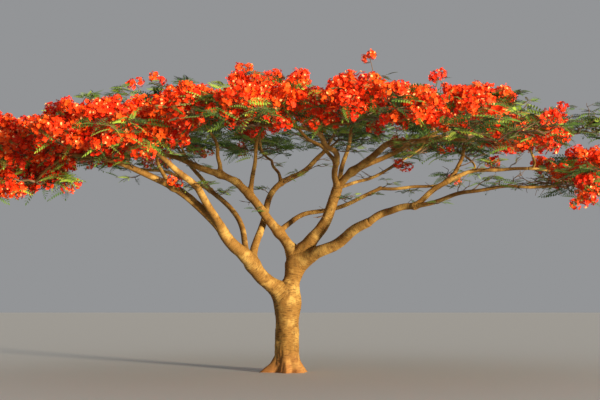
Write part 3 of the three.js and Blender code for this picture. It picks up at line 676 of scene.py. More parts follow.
# Where the shoots end that stand high above two of the masses.
HIGH_SHOOTS = {"middle_3": (-3.43, 0.10, 6.40), "middle_5": (1.85, 0.05, 6.95)}
PLACES = [
    # what the sprigs bear in some balls of the crown: the middle and reach of each, the first counts
    ("leaves", [(-1.20, -4.75, 5.22, 0.45), (-1.30, -2.50, 5.70, 0.50), (-1.60, 0.30, 6.20, 0.60),
                (-1.66, 2.30, 6.50, 0.60)]),
    ("nothing", [(5.20, -4.60, 4.85, 0.35), (5.65, -2.70, 5.15, 0.40)]),
    ("few leaves", [(4.30, -4.40, 5.05, 0.80), (4.90, -2.60, 5.35, 0.60), (5.70, 1.70, 5.80, 0.90),
                    (6.20, 0.70, 5.80, 0.50), (3.20, -4.30, 4.65, 0.40), (3.20, -4.20, 5.05, 0.45),
                    (3.90, -1.60, 5.20, 0.50), (6.85, 0.70, 5.50, 0.70)]),
    ("nothing", [(6.75, -0.90, 5.05, 0.55), (4.85, -3.20, 3.85, 0.70), (5.00, -2.60, 4.20, 0.45),
                 (3.90, -4.20, 4.60, 0.35)]),
    ("blossom", [(6.00, -0.90, 4.62, 0.42), (-4.45, -2.50, 4.60, 0.60), (-3.80, -2.30, 4.75, 0.45),
                 (-5.00, -2.30, 4.30, 0.50), (-4.35, -4.10, 4.65, 0.50), (-5.20, -1.00, 4.50, 0.50),
                 (2.45, -4.30, 4.70, 0.45), (-3.30, -4.50, 4.50, 0.50), (-0.45, -4.50, 4.88, 0.52),
                 (0.15, -4.50, 4.88, 0.50), (0.65, -4.60, 4.90, 0.50), (-0.40, -2.30, 5.40, 0.50),
                 (0.45, -2.50, 5.30, 0.50), (-1.90, -2.20, 5.35, 0.45), (-2.10, -4.20, 4.80, 0.50),
                 (4.55, -4.20, 4.50, 0.45), (4.95, -2.30, 4.80, 0.50)]),
]
# The fewest leaves at an end, and one more than the most.
LEAVES_AT = {"green": (3, 8), "low": (0, 4), "red": (0, 3), "few": (0, 3), "limb": (1, 4)}
# How flat a mass's space is, and how far towards a neighbour its wall may stand.
SPACE = {"margin": 0.012, "stretch": 1.2, "thinness": 0.25, "flatness": 3, "least": 0.35, "most": 0.65}
BALLS_AT_ONCE = 2000
STEM = {"base": 0.030, "end": 0.026, "aside": 0.012, "bend": 0.35, "rows": 9, "sides": 12, "from": 0.985}
HUB = {"pull": 0.3, "drop": 0.35}
ARM = {"count": 3, "reach": 0.55, "level": -0.1, "scatter": 0.4, "base": 0.034, "bow": (-0.10, 0.02)}
TIP = {"count": 7, "reach": 0.8, "dome": 0.75, "level": -0.3, "scatter": 0.3, "base": 0.024, "balls": 7}
ON_ARM = {"back": 0.2, "from": 0.1, "to": 0.95}
RIM = {"count": 8, "red": 0.45}
# The draws that the solid tree makes for each twig, and for the corners of its ball of blossom.
SOLID_DRAWS = {"twig": 2, "blossom": 12}
GOLDEN_ANGLE = np.pi * (3 - np.sqrt(5))
TWIG_BEND = {"along": 0.14, "sag": 0.10}
LEAFY_FORKS = (0.26, 0.42)
OUTER_FORKS = (0.55, 0.70, 0.83, 0.94)
ARM_FORKS = (0.3, 0.5, 0.7, 0.88)
INNER_SPREAD = (35, 80)
OUTER_SPREAD = (25, 80)
INNER_RISE = (-0.35, 0.2)
HEAD_RISE = (0.1, 0.9)
LEAFY_RISE = (-0.25, 0.4)
SPRIG_LENGTH = (0.26, 0.46)
HEAD_SPRIG_LENGTH = (0.18, 0.34)
SPRIG_LEAN = 0.05
CROOK = {"share": 0.05, "waves": 1.5}
# Sprigs under the crown hang lower from the first of these distances outwards.
HANG = {"from": 1.8, "to": 3.2, "arms": 0.65, "twigs": 0.4}
SHOOT_LEAVES = 0.7
# Short leafy shoots on top of a share of the twigs without blossom, and some more at set ends.
TUFTS = {"share": 0.45, "length": (0.22, 0.50), "aside": 0.45, "leaves": 0.6, "red": 0.3,
         "forks": ((0.5, 1), (0.75, -1)), "sprigs": (0.10, 0.20), "lift": 0.4, "sag": 0.02}
HIGH_TUFTS = [(-4.85, 0.20, 5.92), (-4.35, -0.10, 6.16), (-3.95, 0.30, 6.24), (-3.70, -0.20, 6.30),
              (-2.95, 0.10, 6.44), (-2.35, 0.30, 6.50), (-0.95, 0.10, 6.72), (5.10, -0.60, 6.05)]
HIGH_TUFT_FORKS = ((0.55, 1), (0.7, -1), (0.85, 1), (0.95, -1))
# Of each pair, the first is for the limbs over the trunk, and the second for the outer ones.
LIMB_SHOOTS = {"outer": 3.0, "spacing": (0.60, 0.26), "from": (0.45, 0.30), "leaves": (0.5, 0.7),
               "until": 0.97, "scatter": 0.5, "none_on": ("trunk", "bough_left_low", "bough_right_low")}
SHOOT = {"length": (0.30, 0.75), "aside": (25, 95), "rise": (-0.2, 0.7), "lean": 0.06, "bare": 0.3,
         "red": 0.15, "forks": ((0.4, 1), (0.6, -1), (0.8, 1)), "spread": (30, 70),
         "lift": (-0.2, 0.4), "sprigs": (0.12, 0.28), "sprig_lean": 0.02}
# Rows and sides of the skins, and their girths at both ends.
ARM_SKIN = {"rows": 11, "sides": 7, "girths": (0.024, 0.012)}
TWIG_SKIN = {"rows": 9, "sides": 5, "girths": (0.013, 0.007)}
SHOOT_SKIN = {"rows": 9, "sides": 4, "girths": (0.012, 0.005)}
SPRIG_SKIN = {"rows": 4, "sides": 3, "girths": (0.007, 0.004)}
TWIG_BARK = {"Tan": (0.17, 0.10, 0.05, 1), "Furrow": (0.06, 0.035, 0.02, 1),
             "Pale": (0.30, 0.21, 0.13, 1), "Wrinkles": 0.5, "Patches": 0.6}


def walls_of(mass):
    """The flat walls of a mass's space towards its neighbours, part of the way to each of them by
    their sizes: the directions that they face, and a place on each."""
    others = [other for other in masses if other is not mass]
    across = mass["middle"] - np.array([other["middle"] for other in others])
    normals = across * (1, 1, SPACE["flatness"])
    bias = (mass["half"][0] ** 2 - np.array([other["half"][0] for other in others]) ** 2) / 2
    share = np.clip(0.5 + bias / (normals * across).sum(-1), SPACE["least"], SPACE["most"])
    return unit(normals), mass["middle"] - share[:, None] * across


def inside(mass, points, margin, stretch):
    """Whether points keep to a mass's space: clear of its walls by a margin, and in the stretched
    oval round its middle."""
    off = ((points[:, None] - mass["walls"]) * mass["normals"]).sum(-1)
    oval = ((points - mass["middle"]) / mass["half"]) ** 2
    in_oval = oval[:, 0] + oval[:, 1] + SPACE["thinness"] * oval[:, 2] < stretch**2
    return (off > margin).all(axis=1) & in_oval


def chain_gap(balls, radii, chains):
    """The smallest gap from balls to links of chains, each link as thick as its stouter end."""
    starts = np.concatenate([chain[:-1] for chain, _ in chains])
    ends = np.concatenate([chain[1:] for chain, _ in chains])
    thick = np.concatenate([np.maximum(girth[:-1], girth[1:]) for _, girth in chains])
    parts = np.array_split(np.arange(len(balls)), len(balls) // BALLS_AT_ONCE + 1)
    gaps = [link_gaps(balls[part], starts, ends, thick, thick) - radii[part] for part in parts]
    return np.concatenate(gaps)


def curve_through(start, bend, end, rows):
    """A quadratic Bezier curve from start to end that leans towards the bend, or many of them."""
    t = np.linspace(0, 1, rows)[:, None]
    start, bend, end = (place[..., None, :] for place in (start, bend, end))
    return (1 - t) ** 2 * start + 2 * (1 - t) * t * bend + t**2 * end


def stem_of(mass):
    """A mass's stem: a quadratic Bezier curve that leaves along its limb and bends to the hub."""
    middle, carrier = mass["middle"], mass["limb"]["line"]
    tip = carrier(1.0)
    along = unit(tip - carrier(1 - 1e-4))
    hub = middle + HUB["pull"] * (tip - middle)
    hub[2] = middle[2] - HUB["drop"] * mass["half"][2]
    aside = hub - tip
    aside = unit(aside - (aside @ along) * along)
    foot = tip + STEM["aside"] * aside
    bend = foot + along * STEM["bend"] * np.linalg.norm(hub - tip)
    return curve_through(foot, bend, hub, STEM["rows"])


def pyramid(start, end, base):
    """The corners of the solid tree's three-sided twig: its far point, and the three of its root
    in the plane square to it."""
    along = unit(end - start)
    turn = 2 * np.pi * np.arange(3) / 3
    root = base * np.stack([np.sin(turn), np.zeros(3), np.cos(turn)], axis=-1)
    axis = np.cross((0, 1, 0), along)
    turned = root + np.cross(axis, root) + np.cross(axis, np.cross(axis, root)) / (1 + along[1])
    return np.concatenate([end[None], start + turned])


def twig_fits(start, end, base, mass, chains, stretch):
    """Whether the solid tree has this twig: its corners keep to the space, and the balls along it
    stay clear of the limbs and of the other stems."""
    if not inside(mass, pyramid(start, end, base), SPACE["margin"], stretch).all():
        return False
    share = np.linspace(0, 1, TIP["balls"])
    balls = start + share[:, None] * (end - start)
    return (chain_gap(balls, base * (1 - share), chains) >= SPACE["margin"]).all()


def skeleton(order, mass):
    """The arms and twigs of a mass, drawn as the solid tree draws them: three arms from the hub,
    and seven tips in a sunflower's order over a low dome, each reached from its nearest arm. The
    same order, carried on, then gives the rim twigs that close the crown between the masses."""
    draws = seeded(100 + order)
    hub = mass["stem"][-1]
    stem_radii = np.linspace(STEM["base"], STEM["end"], STEM["rows"])
    chains = limb_chains + [(other["stem"], stem_radii) for other in masses if other is not mass]

    def place(ring, turn, level):
        return mass["middle"] + mass["half"] * (ring * np.cos(turn), ring * np.sin(turn), level)

    phase = 2 * np.pi * next(draws)
    arms = []
    for i in range(ARM["count"]):
        turn = phase + 2 * np.pi * (i + ARM["scatter"] * next(draws)) / ARM["count"]
        end = place(ARM["reach"], turn, ARM["level"])
        if twig_fits(hub, end, ARM["base"], mass, chains, SPACE["stretch"]):
            arms.append((hub, end))

    def tip_place(i):
        ring = TIP["reach"] * np.sqrt((i + 0.5) / TIP["count"])
        dome = TIP["dome"] * np.sqrt(max(0, 1 - ring**2))
        return place(ring, phase + i * GOLDEN_ANGLE, dome + TIP["level"] + TIP["scatter"] * next(draws))

    twigs = []

    def reach_for(point, kind):
        near = [np.clip((point - a) @ (b - a) / ((b - a) @ (b - a)), 0, 1) for a, b in arms]
        gaps = [np.linalg.norm(a + s * (b - a) - point) for (a, b), s in zip(arms, near)]
        nearest = int(np.argmin(gaps))
        start, end = arms[nearest]
        share = np.clip(near[nearest] - ON_ARM["back"], ON_ARM["from"], ON_ARM["to"])
        root = start + share * (end - start)
        stretch = np.inf if kind == "shoot" else SPACE["stretch"]
        fitting = twig_fits(root, point, TIP["base"], mass, chains, stretch)
        red = next(draws) < mass["top"] * (RIM["red"] if kind == "rim" else 1) or kind == "shoot"
        for _ in range(SOLID_DRAWS["twig"] + (SOLID_DRAWS["blossom"] if fitting and red else 0)):
            next(draws)
        if fitting:
            twigs.append({"root": root, "tip": point, "arm": unit(end - start), "red": red, "kind": kind})

    for point in [tip_place(i) for i in range(TIP["count"])]:
        reach_for(point, "twig")
    if mass["name"] in HIGH_SHOOTS:
        reach_for(np.array(HIGH_SHOOTS[mass["name"]]), "shoot")
    for i in range(TIP["count"], TIP["count"] + RIM["count"]):
        reach_for(tip_place(i), "rim")
    return arms, twigs


def turned(directions, degrees):
    """Directions turned round the upright by angles in degrees."""
    cos, sin = np.cos(np.radians(degrees)), np.sin(np.radians(degrees))
    x, y, z = directions[..., 0], directions[..., 1], directions[..., 2]
    return np.stack([x * cos - y * sin, x * sin + y * cos, z], axis=-1)


limb_chains = [(limb["chain"], limb["radii"]) for limb in wood.values()]
masses = [{"name": name, "limb": wood["limb_" + limb], "middle": np.array(middle), "half": np.array(half),
           "top": top, "under": under} for name, limb, middle, half, top, under in MASSES]
for mass in masses:
    mass["normals"], mass["walls"] = walls_of(mass)
    mass["stem"] = stem_of(mass)
balls = [(np.array(ball[:3]), ball[3], what) for what, group in PLACES for ball in group]
arm_lines, twig_lines, sprig_lines, shoot_lines = [], [], [], []
twig_tips, tuft_roots, ends = [], [], []


def add_end(point, along, red, order, leaves, size=1):
    """Notes one end of a twig or sprig, for the leaves and the blossom, with the order of its
    mass, or -1 outside the masses. The size is that of its leaves beside the others'."""
    borne = next((what for middle, reach, what in balls if np.linalg.norm(point - middle) < reach), None)
    if borne == "nothing":
        return
    if borne:
        red = borne == "blossom"
    if borne == "few leaves":
        leaves = "few"
    ends.append((point, along, red, order, LEAVES_AT["red" if red else leaves], size))


def crooked(start, bend, end, rows, chance):
    """A twig's line: a quadratic Bezier curve with slow bends aside and upright, which die out
    at its ends."""
    line = curve_through(start, bend, end, rows)
    t = np.linspace(0, 1, rows)[:, None]
    size = CROOK["share"] * np.linalg.norm(end - start) * np.sin(np.pi * t)
    aside_phase, upright_phase = chance.uniform(0, 2 * np.pi, 2)
    turns = 2 * np.pi * CROOK["waves"] * t
    beside = unit(np.cross(UP, end - start) + 1e-6)
    return line + size * (np.sin(turns + aside_phase) * beside + np.sin(turns + upright_phase) * UP)


def sprig_line(root, end, lean):
    """A sprig's line: a quadratic Bezier curve that leans aside in the middle."""
    return curve_through(root, 0.5 * (root + end) + lean, end, SPRIG_SKIN["rows"])


def fork_off(line, places, spread, rise, length, mass, chance):
    """Sprigs that fork off a twig to its two sides in turn, by an angle in plan, with a rise and
    a length: the ends of those that keep to the space, and the headings there."""
    level = unit((line[-1] - line[0]) * (1, 1, 0) + 1e-6)
    side = chance.choice((-1, 1))
    sprig_ends = []
    for place in places:
        side = -side
        root = line[int(round(place * (len(line) - 1)))]
        way = unit(turned(level, side * chance.uniform(*spread)) + UP * chance.uniform(*rise))
        end = root + way * chance.uniform(*length)
        if inside(mass, end[None], 0, SPACE["stretch"])[0]:
            sprig_lines.append(sprig_line(root, end, SPRIG_LEAN * level))
            sprig_ends.append((end, way))
    return sprig_ends


for order, mass in enumerate(masses):
    arms, twigs = skeleton(order, mass)
    chance = np.random.RandomState(700 + order)
    outward = max(abs(mass["middle"][0]), mass["middle"][1])
    hang = np.clip((outward - HANG["from"]) / (HANG["to"] - HANG["from"]), 0, 1)
    fall, rise = INNER_RISE
    for start, end in arms:
        reach = np.linalg.norm(end - start)
        bow = 0.5 * (start + end) + UP * reach * chance.uniform(*ARM["bow"])
        line = crooked(start, bow, end, ARM_SKIN["rows"], chance)
        arm_lines.append(line)
        add_end(end, unit(end - start), chance.rand() < mass["under"], order, "low")
        low = (fall - HANG["arms"] * hang, rise)
        for point, way in fork_off(line, ARM_FORKS, INNER_SPREAD, low, SPRIG_LENGTH, mass, chance):
            add_end(point, way, chance.rand() < mass["under"], order, "low")
    for twig in twigs:
        root, tip, red = twig["root"], twig["tip"], twig["red"]
        reach = np.linalg.norm(tip - root)
        bend = 0.5 * (root + tip) + TWIG_BEND["along"] * reach * twig["arm"] - TWIG_BEND["sag"] * reach * UP
        line = crooked(root, bend, tip, TWIG_SKIN["rows"], chance)
        twig_lines.append(line)
        size = SHOOT_LEAVES if twig["kind"] == "shoot" else 1
        add_end(tip, unit(line[-1] - line[-2]), red, order, "green", size)
        if twig["kind"] == "shoot":
            continue
        if twig["kind"] == "twig":
            twig_tips.append(tip)
            if not red:
                tuft_roots.append(tip)
        low = (fall - HANG["twigs"] * hang, rise)
        for point, way in fork_off(line, LEAFY_FORKS, INNER_SPREAD, low, SPRIG_LENGTH, mass, chance):
            add_end(point, way, red and chance.rand() < mass["under"], order, "low")
        high, length = (HEAD_RISE, HEAD_SPRIG_LENGTH) if red else (LEAFY_RISE, SPRIG_LENGTH)
        for point, way in fork_off(line, OUTER_FORKS, OUTER_SPREAD, high, length, mass, chance):
            add_end(point, way, red, order, "green")


def add_tuft(root, end, leaves, forks, chance):
    """Grows one leafy shoot from the top of a twig, with sprigs to its two sides in turn."""
    line = crooked(root, 0.5 * (root + end), end, SHOOT_SKIN["rows"], chance)
    shoot_lines.append(line)
    add_end(end, unit(end - root), chance.rand() < TUFTS["red"], -1, leaves, TUFTS["leaves"])
    for share, side in forks:
        fork = line[int(share * (len(line) - 1))]
        way = unit(heading(chance.uniform(0, 180) + 90 * side, 0) + TUFTS["lift"] * UP)
        tip = fork + way * chance.uniform(*TUFTS["sprigs"])
        sprig_lines.append(sprig_line(fork, tip, -TUFTS["sag"] * UP))
        add_end(tip, way, False, -1, leaves, TUFTS["leaves"])


chance = np.random.RandomState(820)
for root in tuft_roots:
    if chance.rand() > TUFTS["share"]:
        continue
    way = unit(UP + TUFTS["aside"] * heading(chance.uniform(0, 360), 0))
    add_tuft(root, root + way * chance.uniform(*TUFTS["length"]), "limb", TUFTS["forks"], chance)
for end in np.array(HIGH_TUFTS):
    root = twig_tips[np.argmin(np.linalg.norm(twig_tips - end, axis=1))]
    add_tuft(root, end, "green", HIGH_TUFT_FORKS, chance)

chance = np.random.RandomState(640)
for name, limb in wood.items():
    if name in LIMB_SHOOTS["none_on"]:
        continue
    outer = bool(abs(limb["chain"][-1, 0]) > LIMB_SHOOTS["outer"])
    spacing = LIMB_SHOOTS["spacing"][outer] / limb["length"]
    size = LIMB_SHOOTS["leaves"][outer]
    for place in np.arange(LIMB_SHOOTS["from"][outer], LIMB_SHOOTS["until"], spacing):
        place = place + chance.uniform(0, LIMB_SHOOTS["scatter"]) * spacing
        root = limb["line"](place)
        along = unit(limb["line"](place + 0.01) - root)
        aside = chance.choice((-1, 1)) * chance.uniform(*SHOOT["aside"])
        way = unit(turned(unit(along * (1, 1, 0) + 1e-6), aside) + UP * chance.uniform(*SHOOT["rise"]))
        end = root + way * chance.uniform(*SHOOT["length"])
        line = crooked(root, 0.5 * (root + end) + SHOOT["lean"] * along, end, SHOOT_SKIN["rows"], chance)
        shoot_lines.append(line)
        bare = chance.rand() < SHOOT["bare"]
        red = outer and chance.rand() < SHOOT["red"]
        for share, side in SHOOT["forks"]:
            fork = line[int(share * (len(line) - 1))]
            to_side = turned(way, side * chance.uniform(*SHOOT["spread"]))
            sprig_way = unit(to_side + UP * chance.uniform(*SHOOT["lift"]))
            tip = fork + sprig_way * chance.uniform(*SHOOT["sprigs"])
            sprig_lines.append(sprig_line(fork, tip, SHOOT["sprig_lean"] * way))
            if not bare:
                add_end(tip, sprig_way, False, -1, "limb", size)
        if not bare:
            add_end(end, way, red, -1, "limb", size)


def tapered(lines, girths, sides):
    """Closed round skins along lines of equal rows, each with an even taper."""
    lines = np.array(lines)
    share = np.linspace(0, 1, lines.shape[1])[None, :, None]
    first = np.reshape(girths[0], (-1, 1, 1))
    radius = first + (girths[1] - first) * share
    radius = np.broadcast_to(radius, (len(lines), lines.shape[1], sides))
    rings, _ = round_skins(lines, radius)
    return closed_skins(rings, lines)


twig_bark = bark_material("twig_bark", TWIG_BARK, depth=0.002)
mass_nodes = ["foliage_" + mass["name"] for mass in masses]
stem_lines = [np.vstack([mass["limb"]["line"](STEM["from"]), mass["stem"]]) for mass in masses]
limb_ends = np.array([mass["limb"]["radii"][-1] for mass in masses])
points, faces = tapered(stem_lines, (limb_ends, STEM["end"]), STEM["sides"])
piece_of_tree("stem_bark", points, faces, wood_bark, "bark", mass_nodes, points)
skins = ((arm_lines, ARM_SKIN), (twig_lines, TWIG_SKIN), (shoot_lines, SHOOT_SKIN),
         (sprig_lines, SPRIG_SKIN))
points, faces = joined([tapered(lines, skin["girths"], skin["sides"]) for lines, skin in skins])
piece_of_tree("twigs", points, faces, twig_bark, "bark", mass_nodes, points)


# The leaves: feathery, a forearm long, in rosettes at the ends of the sprigs. Each is a drooping
# midrib with pairs of narrow side plumes that stand for its hundreds of small leaflets.
LEAF_LENGTH = (0.25, 0.41)
LEAF_SCATTER = 25
LEAF_RISE = (0, 38)
FALL_UNDER_BLOSSOM = 22
LEAF_DROOP = (0.15, 0.60)
LEAF_ROLL = 55
LEAF_BACK = (0.0, 0.12)
LEAF_ROOM = {"margin": -0.15, "stretch": 1.16, "ball": 0.05, "balls_at": (0.45, 0.95)}
PLUMES = {"pairs": 7, "from": 0.16, "to": 0.95, "length": 0.30, "width": 0.38, "last": 0.8,
          "first_length": 0.16, "wave": 0.72, "fullness": 0.6}
PLUME_WAY = {"ahead": 0.42, "aside": 0.95, "down": 0.22, "belly": 0.06}
MIDRIB = {"width": 0.005, "narrowing": (1.0, 0.7, 0.3)}
MOTTLE = {"detail": 3, "colour": (0.3, 0.7), "roughness": (0, 1, 0.7, 0.5), "bump": 0.3}
LEAF_TINTS = {
    # deep and light green, and the share of the sprays
    "leaves_deep": ((0.035, 0.085, 0.012, 1), (0.065, 0.130, 0.020, 1), 0.32),
    "leaves_green": ((0.090, 0.180, 0.020, 1), (0.150, 0.260, 0.035, 1), 0.38),
    "leaves_fresh": ((0.220, 0.360, 0.030, 1), (0.330, 0.460, 0.060, 1), 0.25),
}


def mottle_group():
    """Soft mottling of leaves and petals: two colours mixed by a fine noise, with a roughness and
    a height that follow the same noise."""
    inputs = {"Deep": "Color", "Light": "Color", "Scale": "Float"}
    group, given = shader_group("leaf_and_petal_mottle", inputs)
    settings = {"Vector": place_in(group), "Scale": given["Scale"], "Detail": MOTTLE["detail"]}
    noise = add_node(group, "ShaderNodeTexNoise", settings).outputs["Fac"]
    colour = blended(ranged(noise, *MOTTLE["colour"]), given["Deep"], given["Light"])
    rough = ranged(noise, *MOTTLE["roughness"])
    add_node(group, "NodeGroupOutput", {"Colour": colour, "Roughness": rough, "Height": noise})
    return group


mottle = mottle_group()


def soft_material(name, deep, light, scale, depth, sheen):
    """A leaf or petal finish: mottled between two colours, with a soft sheen."""
    material = new_material(name, {"Specular IOR Level": 0.2, "Sheen Weight": sheen})
    dress(material, mottle, {"Deep": deep, "Light": light, "Scale": scale}, MOTTLE["bump"], depth)
    return material


def kite_faces(kites):
    """Points and triangles of kites: two to each, folded along its middle."""
    points = kites.reshape(-1, 3)
    first = 4 * np.arange(len(points) // 4)[:, None]
    return points, [np.concatenate([first + (0, 1, 2), first + (0, 2, 3)])]


def ribbon_faces(ribbons):
    """Points and triangles of ribbons of three rows: four to each."""
    foot = 6 * np.arange(len(ribbons))[:, None]
    corners = ((0, 1, 3), (0, 3, 2), (2, 3, 5), (2, 5, 4))
    return ribbons.reshape(-1, 3), [np.concatenate([foot + corner for corner in corners])]


def feather_leaves(root, along, length, droop, roll):
    """Feathery leaves: the midrib is a parabola that leaves along its heading and bends down by
    the droop, and the blade is rolled about it. Plumes stand in pairs along it, longest in the
    middle, each a folded kite of two triangles that leans forward, and one more ends it. The
    midrib is a ribbon that narrows."""
    level = unit(np.cross(UP, along))
    above = np.cross(along, level)
    across = np.cos(roll)[:, None] * level + np.sin(roll)[:, None] * above
    face = np.cross(along, across)[:, None, None]
    size = length[:, None, None]
    sag = droop[:, None, None]

    def midrib(share):
        share = np.asarray(share)[None, :, None]
        return root[:, None] + size * (share * along[:, None] - sag * share**2 * above[:, None])

    share = np.linspace(PLUMES["from"], PLUMES["to"], PLUMES["pairs"])
    seat = midrib(share)[:, :, None]
    ahead = unit(along[:, None] - 2 * sag * share[:, None] * above[:, None])[:, :, None]
    side = np.array((-1.0, 1.0))[:, None] * across[:, None, None]
    way = unit(PLUME_WAY["ahead"] * ahead + PLUME_WAY["aside"] * side - PLUME_WAY["down"] * face)
    wave = np.sin(np.pi * (PLUMES["first_length"] + PLUMES["wave"] * share))
    long = PLUMES["length"] * wave ** PLUMES["fullness"]
    long = long[None, :, None, None] * size[..., None]
    belly = seat + 0.5 * long * way - PLUME_WAY["belly"] * long * face
    half = PLUMES["width"] * 0.5 * long * unit(np.cross(way, face))
    kites = np.stack(np.broadcast_arrays(seat, belly - half, seat + long * way, belly + half), axis=3)
    kites = kites.reshape(len(root), -1, 4, 3)
    last = midrib([1.0])[:, 0]
    forward = unit(along - 2 * droop[:, None] * above)
    long = PLUMES["last"] * PLUMES["length"] * length[:, None]
    half = PLUMES["width"] * 0.5 * long * across
    belly = last + 0.5 * long * forward
    end_kite = np.stack([last, belly - half, last + long * forward, belly + half], axis=1)
    ribs = midrib([0.0, 0.5, 1.0])
    edge = np.array(MIDRIB["narrowing"])[None, :, None] * MIDRIB["width"] * across[:, None]
    return np.concatenate([kites, end_kite[:, None]], axis=1), np.stack([ribs - edge, ribs + edge], axis=2)


def in_own_space(points, owners, margin, stretch):
    """Whether points keep to the space of their own mass. Those outside the masses always do."""
    kept = np.ones(len(points), bool)
    for order, mass in enumerate(masses):
        own = owners == order
        kept[own] = inside(mass, points[own], margin, stretch[own])
    return kept


def dealt(tints, count, chance):
    """The number of a tint for each of so many sprays or heads, dealt out by the tints' shares."""
    shares = np.cumsum([share for _, _, share in tints.values()])
    return np.searchsorted(shares, chance.rand(count) * shares[-1])


def nodes_of(owners):
    """The nodes of the masses that leaves or flowers belong to."""
    return [mass_nodes[order] for order in np.unique(owners) if order >= 0]


chance = np.random.RandomState(31)
end_point, end_way, end_red, end_mass, end_leaves, end_size = (np.array(column) for column in zip(*ends))
leaf_counts = chance.randint(end_leaves[:, 0], end_leaves[:, 1])
of_end = np.repeat(np.arange(len(ends)), leaf_counts)
count = len(of_end)
number = np.arange(count) - np.repeat(np.cumsum(leaf_counts) - leaf_counts, leaf_counts)
way = end_way[of_end]
outward = np.degrees(np.arctan2(way[:, 1], way[:, 0]))
bearing = outward + np.degrees(GOLDEN_ANGLE) * number + chance.uniform(-LEAF_SCATTER, LEAF_SCATTER, count)
along = heading(bearing, chance.uniform(*LEAF_RISE, count) - FALL_UNDER_BLOSSOM * end_red[of_end])
length = chance.uniform(*LEAF_LENGTH, count) * end_size[of_end]
droop = chance.uniform(*LEAF_DROOP, count)
roll = np.radians(chance.uniform(-LEAF_ROLL, LEAF_ROLL, count))
root = end_point[of_end] - way * chance.uniform(*LEAF_BACK, count)[:, None]

tip = root + along * length[:, None] - UP * (droop * length)[:, None]
keep = in_own_space(tip, end_mass[of_end], LEAF_ROOM["margin"], np.full(count, LEAF_ROOM["stretch"]))
for share in LEAF_ROOM["balls_at"]:
    keep &= chain_gap(root + share * (tip - root), np.full(count, LEAF_ROOM["ball"]), limb_chains) > 0

tint_of_end = dealt(LEAF_TINTS, len(ends), chance)
kites, ribbons = feather_leaves(root, along, length, droop, roll)
for number, (name, (deep, light, _)) in enumerate(LEAF_TINTS.items()):
    chosen = keep & (tint_of_end[of_end] == number)
    points, faces = joined([kite_faces(kites[chosen]), ribbon_faces(ribbons[chosen])])
    material = soft_material(name, deep, light, scale=9, depth=0.002, sheen=0.1)
    piece_of_tree(name, points, faces, material, "leaf", nodes_of(end_mass[of_end[chosen]]))


# The blossom: heads of flowers at the ends of the sprigs, each head a few stalked clusters. A
# flower has four spreading spoon-shaped petals, scarlet to orange, and one paler upright petal.
CLUSTERS = 3
FLOWERS = 11
CLUSTER_RISE = (-25, 60)
CLUSTER_OUT = {"reach": 0.12, "scatter": (0.7, 1.25), "upwards": 0.3}
CLUSTER_SHARE = 1.4
FLOWER_OUT = {"reach": 0.085, "scatter": (0.75, 1.3), "nod": 0.3}
FLOWER_RADIUS = (0.042, 0.058)
FLOWER_ROOM = {"margin": -0.12, "stretch": 1.20}
PETALS = {"count": 5, "lean": (0.0, 0.5), "upright": 0.45}
PETAL = {"base": 0.04, "out": 0.66, "half": 0.44, "lift": 0.58, "cup": 0.08}
PALE_SHARE = 0.22
STALK_WIDTH = 0.003
BRANCH = {"bend": 0.05, "girths": (0.004, 0.003), "rows": 2, "sides": 3}
PETAL_TINTS = {
    # deep and light colour, and the share of the heads
    "petals_scarlet": ((0.86, 0.030, 0.002, 1), (1.00, 0.058, 0.004, 1), 0.50),
    "petals_orange": ((0.94, 0.068, 0.004, 1), (1.00, 0.115, 0.007, 1), 0.30),
    "petals_crimson": ((0.66, 0.016, 0.002, 1), (0.88, 0.030, 0.003, 1), 0.20),
}
STANDARD_PETAL = ((0.90, 0.30, 0.08, 1), (0.95, 0.62, 0.28, 1))
STALK_GREEN = ((0.10, 0.13, 0.03, 1), (0.20, 0.16, 0.05, 1))


def square_to(normals):
    """Two unit directions square to each normal and to each other."""
    level = np.where(np.abs(normals[:, 2:]) > 0.9, (1.0, 0.0, 0.0), (0.0, 0.0, 1.0))
    first = unit(np.cross(level, normals))
    return first, np.cross(normals, first)


def petals(middle, facing, radius, turn, lean):
    """Petals as folded kites: each leaves the flower's middle in its turn, widens to a spoon two
    thirds of the way out, and rises by its lean towards the facing."""
    first, second = square_to(facing)
    out = np.cos(turn)[..., None] * first[:, None] + np.sin(turn)[..., None] * second[:, None]
    side = np.cross(facing[:, None], out)
    up, middle, size, lift = facing[:, None], middle[:, None], radius[:, None, None], lean[..., None]
    base = middle + PETAL["base"] * size * up + 0 * out
    cup = PETAL["lift"] * lift + PETAL["cup"]
    left, right = (middle + size * (PETAL["out"] * out + half * side + cup * up)
                   for half in (PETAL["half"], -PETAL["half"]))
    tip = middle + size * (out + (lift - PETAL["cup"]) * up)
    return np.stack([base, right, tip, left], axis=2)


chance = np.random.RandomState(57)
red_ends = np.flatnonzero(end_red)
cluster_end = np.repeat(red_ends, CLUSTERS)
count = len(cluster_end)
number = np.tile(np.arange(CLUSTERS), len(red_ends))
bearing = 360 * number / CLUSTERS + np.repeat(chance.uniform(0, 360, len(red_ends)), CLUSTERS)
cluster_way = heading(bearing, chance.uniform(*CLUSTER_RISE, count))
cluster_out = CLUSTER_OUT["reach"] * chance.uniform(*CLUSTER_OUT["scatter"], count)
cluster_middle = end_point[cluster_end] + cluster_way * cluster_out[:, None]
cluster_way = unit(cluster_way + CLUSTER_OUT["upwards"] * UP)

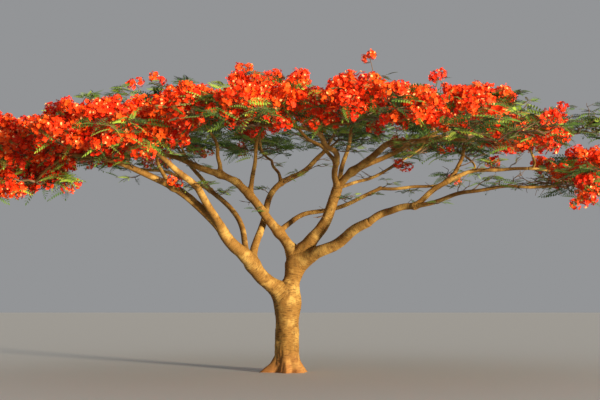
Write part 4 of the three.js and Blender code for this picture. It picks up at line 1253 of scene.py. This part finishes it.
of_cluster = np.repeat(np.arange(count), FLOWERS)
number = np.tile(np.arange(FLOWERS), count)
polar = np.arccos(1 - CLUSTER_SHARE * (number + 0.5) / FLOWERS)[:, None]
spin = (GOLDEN_ANGLE * number + np.repeat(chance.uniform(0, 2 * np.pi, count), FLOWERS))[:, None]
first, second = square_to(cluster_way[of_cluster])
aside = np.cos(spin) * first + np.sin(spin) * second
facing = np.cos(polar) * cluster_way[of_cluster] + np.sin(polar) * aside
flower_out = FLOWER_OUT["reach"] * chance.uniform(*FLOWER_OUT["scatter"], len(facing))
flower_middle = cluster_middle[of_cluster] + facing * flower_out[:, None]
facing = unit(facing + chance.uniform(-FLOWER_OUT["nod"], FLOWER_OUT["nod"], facing.shape))
flower_radius = chance.uniform(*FLOWER_RADIUS, len(facing))

of_end = cluster_end[of_cluster]
stretch = np.where(end_size[of_end] < 1, np.inf, FLOWER_ROOM["stretch"])
keep = in_own_space(flower_middle, end_mass[of_end], FLOWER_ROOM["margin"], stretch)
keep &= chain_gap(flower_middle, flower_radius, limb_chains) > 0

turns = chance.uniform(0, 2 * np.pi, len(facing))[:, None]
turns = turns + 2 * np.pi * np.arange(PETALS["count"]) / PETALS["count"]
leans = chance.uniform(*PETALS["lean"], turns.shape)
leans[:, -1] += PETALS["upright"]
shapes = petals(flower_middle, facing, flower_radius, turns, leans)
tint_of_cluster = dealt(PETAL_TINTS, count, chance)
pale = chance.rand(len(facing)) < PALE_SHARE
for number, (name, (deep, light, _)) in enumerate(PETAL_TINTS.items()):
    chosen = keep & (tint_of_cluster[of_cluster] == number)
    kites = np.concatenate([shapes[chosen][:, :-1].reshape(-1, 4, 3), shapes[chosen & ~pale][:, -1]])
    material = soft_material(name, deep, light, scale=24, depth=0.001, sheen=0)
    piece_of_tree(name, *kite_faces(kites), material, "blossom", nodes_of(end_mass[of_end[chosen]]))
chosen = keep & pale
material = soft_material("petals_pale", *STANDARD_PETAL, scale=60, depth=0.001, sheen=0)
nodes = nodes_of(end_mass[of_end[chosen]])
piece_of_tree("petals_pale", *kite_faces(shapes[chosen][:, -1]), material, "blossom", nodes)

foot, head = cluster_middle[of_cluster[keep]], flower_middle[keep]
beside = STALK_WIDTH * square_to(unit(head - foot))[0]
blades = np.stack([foot - beside, foot + beside, head], axis=1)
start = end_point[cluster_end]
branches = curve_through(start, start + BRANCH["bend"] * end_way[cluster_end], cluster_middle, BRANCH["rows"])
points, (sides, fans) = tapered(branches, BRANCH["girths"], BRANCH["sides"])
blade_faces = np.arange(3 * len(blades)).reshape(-1, 3) + len(points)
points = np.concatenate([points, blades.reshape(-1, 3)])
material = soft_material("flower_stalks", *STALK_GREEN, scale=12, depth=0.001, sheen=0.1)
nodes = nodes_of(end_mass[red_ends])
piece_of_tree("flower_stalks", points, [sides, fans, blade_faces], material, "leaf", nodes)


low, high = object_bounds()
